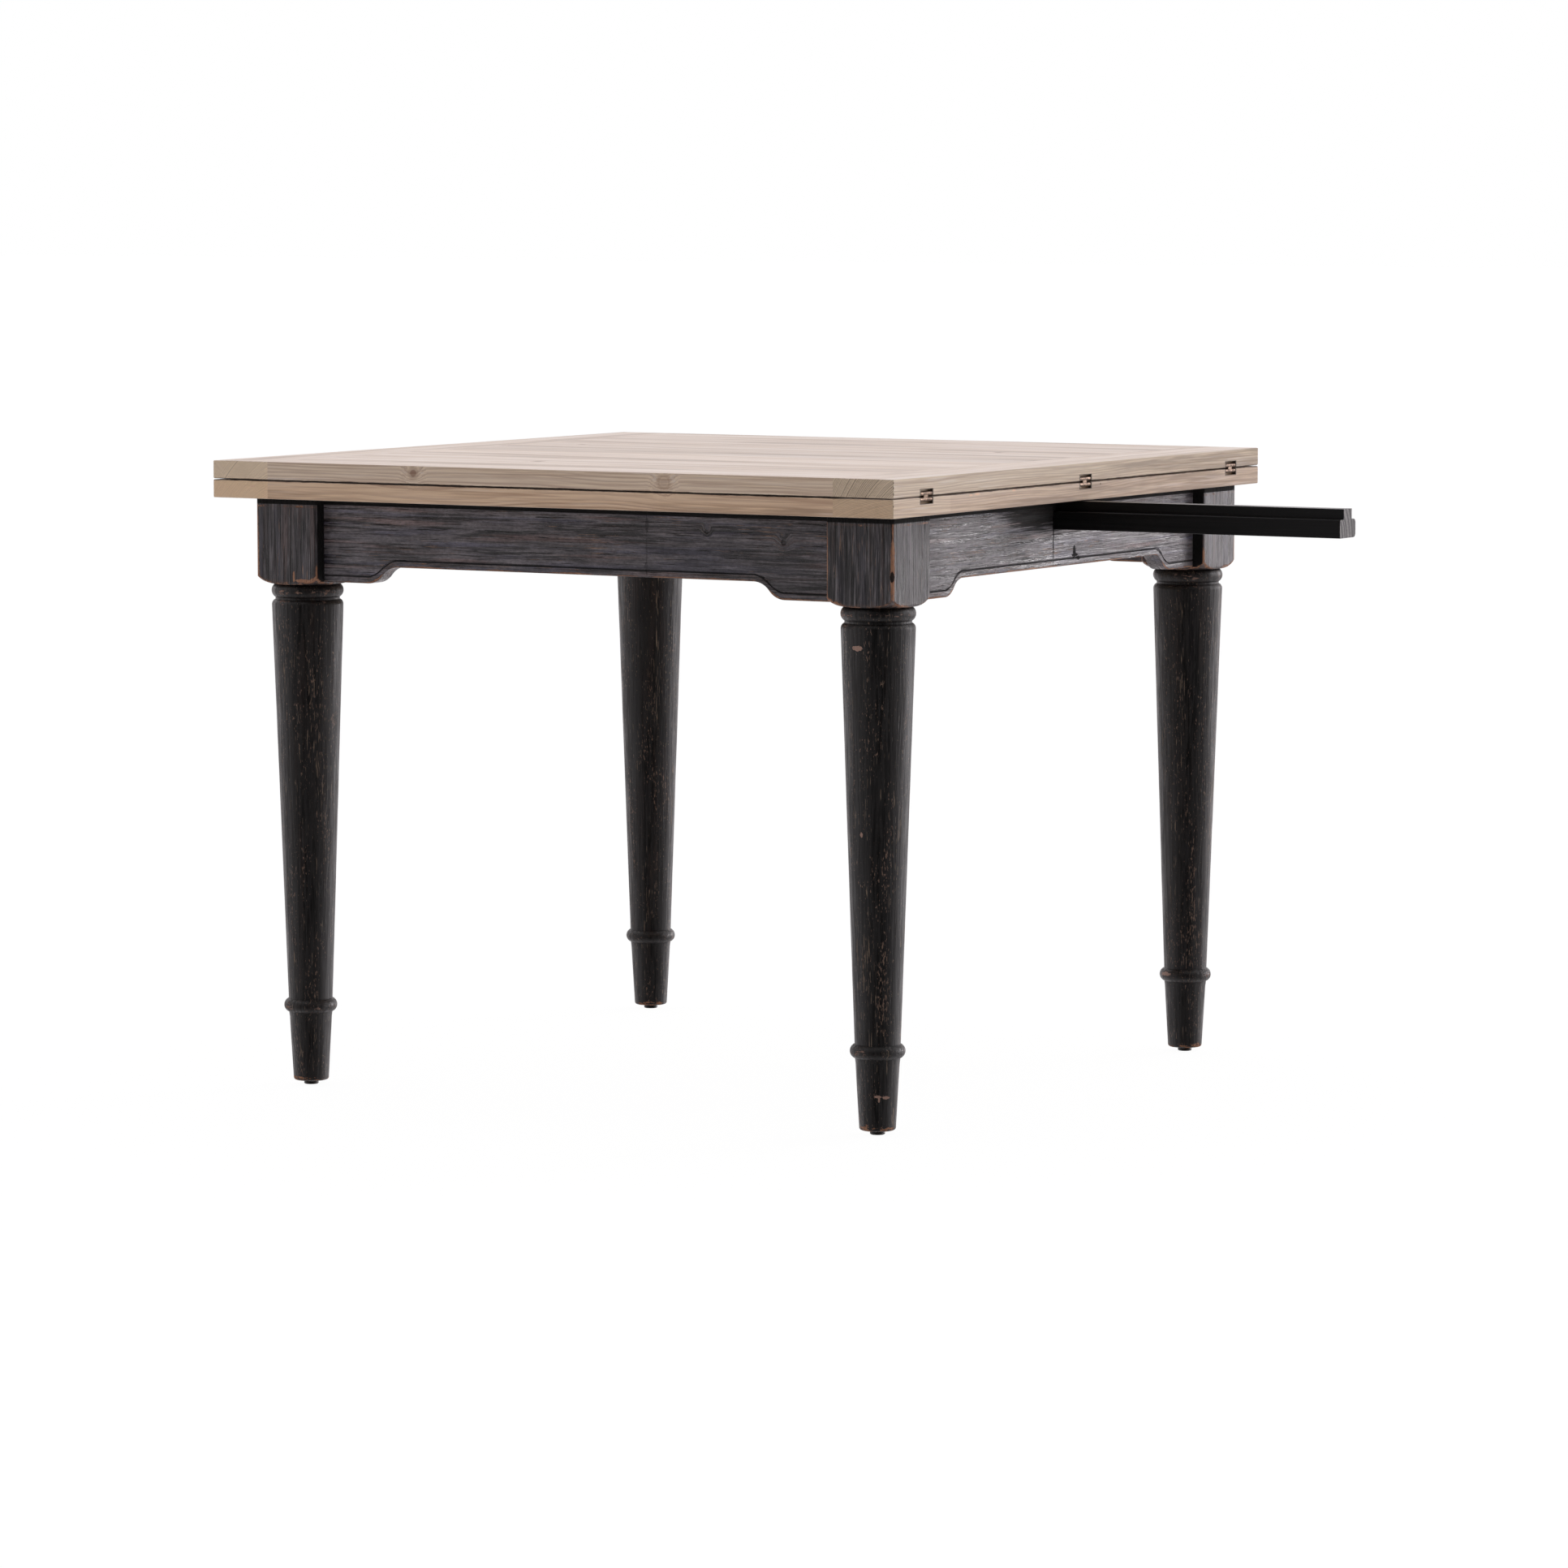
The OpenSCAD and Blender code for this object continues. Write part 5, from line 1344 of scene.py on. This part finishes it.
class Studio(bpy.types.Operator):
    """Lay the pale floor, wrap the room in soft light and aim the camera"""

    bl_idname = "table.studio"
    bl_label = "Floor, light and camera"

    def execute(self, context):
        studio = context.scene.table_studio
        self.lay_floor(context, studio)
        self.light_room(context, studio)
        self.aim_camera(context, studio)
        return {"FINISHED"}

    def lay_floor(self, context, studio):
        """A wide floor, near white to the camera and clear from below."""
        bm = bmesh.new()
        bmesh.ops.create_grid(bm, x_segments=24, y_segments=24, size=60.0)
        mesh = bpy.data.meshes.new("Floor")
        bm.to_mesh(mesh)
        bm.free()
        floor = bpy.data.objects.new("Floor", mesh)
        context.scene.collection.objects.link(floor)
        material = bpy.data.materials.new("Studio floor")
        b = empty_bench(material)
        soft = b.out("ShaderNodeBsdfDiffuse", {"Color": studio.floor})
        glow = b.out("ShaderNodeEmission", {"Color": (1.0, 1.0, 1.0), "Strength": 1.04})
        share = b.out("ShaderNodeLightPath", pick="Is Camera Ray") * studio.floor_glow
        both = b.out("ShaderNodeMixShader", {0: share, 1: soft, 2: glow})
        below = b.out("ShaderNodeNewGeometry", pick="Backfacing")
        clear = b.out("ShaderNodeBsdfTransparent")
        open_below = b.out("ShaderNodeMixShader", {0: below, 1: both, 2: clear})
        b.put("ShaderNodeOutputMaterial", {"Surface": open_below})
        mesh.materials.append(material)
        floor.visible_glossy = False

    def light_room(self, context, studio):
        """Light from all round, strongest behind the table, with a window and a lamp at the back right."""
        world = bpy.data.worlds.new("Studio room")
        context.scene.world = world
        b = empty_bench(world)
        way = b.vector("NORMALIZE", b.shaded("Generated"))

        def toward(*direction):
            return b.vector("DOT_PRODUCT", way, direction)

        # Light from behind the table (0) round to the camera's side (1), halved to fit a colour ramp
        stops = (
            (0.0, 1.25), (0.25, 1.15), (0.45, 0.85), (0.58, 0.68), (0.72, 0.58), (0.84, 0.29), (0.93, 0.10),
            (1.0, 0.03),
        )
        share = toward(0.508, -0.861, 0.05) * 0.5 + 0.5
        around = b.ramp(share, [(place, (light / 2,) * 3) for place, light in stops])
        window = b.step(toward(0.508, 0.861, 0.0), 0.35, 1.0, 0.0, studio.window)
        glow = window + b.step(toward(0.49, 0.855, 0.17), 0.965, 0.992, 0.0, studio.lamp)
        room = b.vector("ADD", b.vector("SCALE", around, scale=2.0), b.join(glow, glow, glow))
        room = b.vector("MULTIPLY", room, tuple(studio.light_tint))
        lit = b.out("ShaderNodeBackground", {"Color": room, "Strength": studio.room_light})
        white = b.out("ShaderNodeBackground", {"Color": (1.0, 1.0, 1.0), "Strength": 1.0})
        seen = b.out("ShaderNodeLightPath", pick="Is Camera Ray")
        b.put("ShaderNodeOutputWorld", {"Surface": b.out("ShaderNodeMixShader", {0: seen, 1: lit, 2: white})})
        context.scene.view_settings.view_transform = "Standard"

    def aim_camera(self, context, studio):
        """The photo's camera."""
        camera = bpy.data.cameras.new("Camera")
        camera.sensor_width = 36.0
        camera.lens = studio.lens
        camera.clip_end = 200.0
        rig = bpy.data.objects.new("Camera", camera)
        context.scene.collection.objects.link(rig)
        yaw, pitch = studio.camera_yaw, studio.camera_pitch
        ahead = Vector((
            math.sin(yaw) * math.cos(pitch), math.cos(yaw) * math.cos(pitch), -math.sin(pitch)))
        right = ahead.cross(Vector(UP)).normalized()
        turn = Matrix((right, right.cross(ahead), -ahead)).transposed().to_4x4()
        rig.matrix_world = Matrix.Translation(Vector(studio.camera_place)) @ turn
        context.scene.camera = rig


# ---------------------------------------------------------------- what a user may change


def colour(name, description, default):
    return bpy.props.FloatVectorProperty(
        name=name, description=description, default=default, subtype="COLOR", size=3, min=0.0, max=1.0)


def length(name, description, default, high=0.01):
    return bpy.props.FloatProperty(
        name=name, description=description, default=default, min=0.0, max=high, precision=5,
        subtype="DISTANCE", unit="LENGTH")


def factor(name, description, default, high=1.0):
    return bpy.props.FloatProperty(
        name=name, description=description, default=default, min=0.0, max=high, subtype="FACTOR")


class TopFinish(bpy.types.PropertyGroup):
    """Wood, wash and eased edges of the leaves"""

    early_wood: colour("Early wood", "Pale wood between the growth lines", (0.71, 0.555, 0.415))
    late_wood: colour("Late wood", "Darker growth lines", (0.38, 0.245, 0.170))
    grey_wood: colour("Grey wood", "Greyer bands in the boards", (0.36, 0.262, 0.198))
    wash_colour: colour("Wash", "White wash left in the grain", (0.785, 0.700, 0.622))
    wash: factor("Wash cover", "Share of the wash on the faces of the leaves", 0.22)
    ring_gap: length("Ring gap", "Distance between growth rings", 0.0031)
    end_gap: length("End ring gap", "Distance between growth rings on the sawn ends", 0.0021)
    # Sizes of the painted shade round each hinge
    hinge_half: length("Hinge half width", "Half the width of the grime round a hinge", 0.0150, 0.05)
    hinge_tall: length("Hinge half height", "Half the height of the grime round a hinge", 0.0080, 0.05)
    joint_ease: length("Joint ease", "Width of the eased edge between two boards", 0.00035)
    rim_ease: length("Rim ease", "Width of the eased outer edges of the leaves", 0.0010)


class PaintFinish(bpy.types.PropertyGroup):
    """Paint, wear and edges of the legs, rails and slide"""

    paint: colour("Block paint", "Charcoal paint of the blocks", (0.034, 0.0305, 0.0325))
    rail_paint: colour("Rail paint", "Charcoal paint of the rails", (0.087, 0.0785, 0.0855))
    shaft_paint: colour("Shaft paint", "Paint of the turned parts", (0.0051, 0.0039, 0.0035))
    light_streak: colour("Light streaks", "Thin grey streaks in the paint", (0.160, 0.147, 0.156))
    under_coat: colour("Under coat", "Tan flecks where the paint has gone", (0.24, 0.155, 0.110))
    bare_wood: colour("Bare wood", "Wood where edges are rubbed through", (0.27, 0.120, 0.066))
    lacquer: colour("Lacquer", "Black lacquer of the slide", (0.004, 0.004, 0.0042))
    rub: factor("Rubbing", "How far the edges are rubbed through", 0.74)
    block_edge: length("Block edge", "Radius of the edges of the leg blocks", 0.003)
    unevenness: length("Unevenness", "How far the turned surface wanders by hand", 0.00018, 0.002)
    rail_ease: length("Rail ease", "Width of the eased edges of the rails", 0.0005)
    slide_ease: length("Slide ease", "Width of the eased edges of the slide", 0.0003)


class FittingFinish(bpy.types.PropertyGroup):
    """Metals, edges and threads of the fittings"""

    brass: colour("Brass", "Rubbed brass of the hinges", (0.26, 0.175, 0.120))
    zinc: colour("Zinc", "Zinc plating of screws and bolts", (0.62, 0.62, 0.61))
    plate_ease: length("Plate ease", "Width of the eased edges of the hinge plates", 0.00018)
    thread_pitch: length("Thread pitch", "Pitch of the thread of a 4 mm screw", 0.0018)


class StudioLook(bpy.types.PropertyGroup):
    """Floor, light and camera"""

    floor: colour("Floor", "Colour of the floor", (0.72, 0.72, 0.72))
    floor_glow: factor("Floor glow", "Share of plain white in the floor that the camera sees", 0.93)
    room_light: factor("Room light", "Strength of the soft light round the table", 1.0, 5.0)
    light_tint: colour("Light tint", "Slightly rosy tone of the light", (1.0, 0.955, 0.978))
    window: factor("Window", "Extra light from the right at the back", 0.16, 3.0)
    lamp: factor("Lamp", "Small strong light low down behind the right side", 9.0, 20.0)
    lens: bpy.props.FloatProperty(
        name="Lens", description="Focal length on a 36 mm wide frame", default=141.46, min=20.0, max=300.0,
        subtype="DISTANCE_CAMERA", unit="CAMERA")
    camera_place: bpy.props.FloatVectorProperty(
        name="Camera place", description="Where the camera stands", default=(3.89839, -6.614155, 1.11964),
        size=3, subtype="TRANSLATION", unit="LENGTH")
    camera_yaw: bpy.props.FloatProperty(
        name="Camera yaw", description="Turn of the camera from the back direction", default=-0.52803,
        subtype="ANGLE", unit="ROTATION")
    camera_pitch: bpy.props.FloatProperty(
        name="Camera pitch", description="How far the camera looks down", default=0.09901,
        subtype="ANGLE", unit="ROTATION")


LOOKS = (
    ("table_top", TopFinish),
    ("table_paint", PaintFinish),
    ("table_fittings", FittingFinish),
    ("table_studio", StudioLook),
)
MAKERS = (
    Studio, TurnedLegs, Aprons, LeafBoards, SupportSlide, FoldHinges, UnderframeWood, WoodScrews,
    CornerBolts, GlidesAndBumpers,
)


class TablePanel(bpy.types.Panel):
    """Lists the makers of the table's pieces and their looks"""

    bl_idname = "VIEW3D_PT_dining_table"
    bl_label = "Dining table"
    bl_space_type = "VIEW_3D"
    bl_region_type = "UI"
    bl_category = "Table"

    def draw(self, context):
        for maker in MAKERS:
            self.layout.operator(maker.bl_idname)
        for place, look in LOOKS:
            box = self.layout.box()
            for name in look.__annotations__:
                box.prop(getattr(context.scene, place), name)


def register():
    for place, look in LOOKS:
        bpy.utils.register_class(look)
        setattr(bpy.types.Scene, place, bpy.props.PointerProperty(type=look))
    for maker in (*MAKERS, TablePanel):
        bpy.utils.register_class(maker)


def unregister():
    for maker in reversed((*MAKERS, TablePanel)):
        bpy.utils.unregister_class(maker)
    for place, look in reversed(LOOKS):
        delattr(bpy.types.Scene, place)
        bpy.utils.unregister_class(look)


def main():
    register()
    for maker in MAKERS:
        area, name = maker.bl_idname.split(".")
        getattr(getattr(bpy.ops, area), name)()


if __name__ == "__main__":
    main()
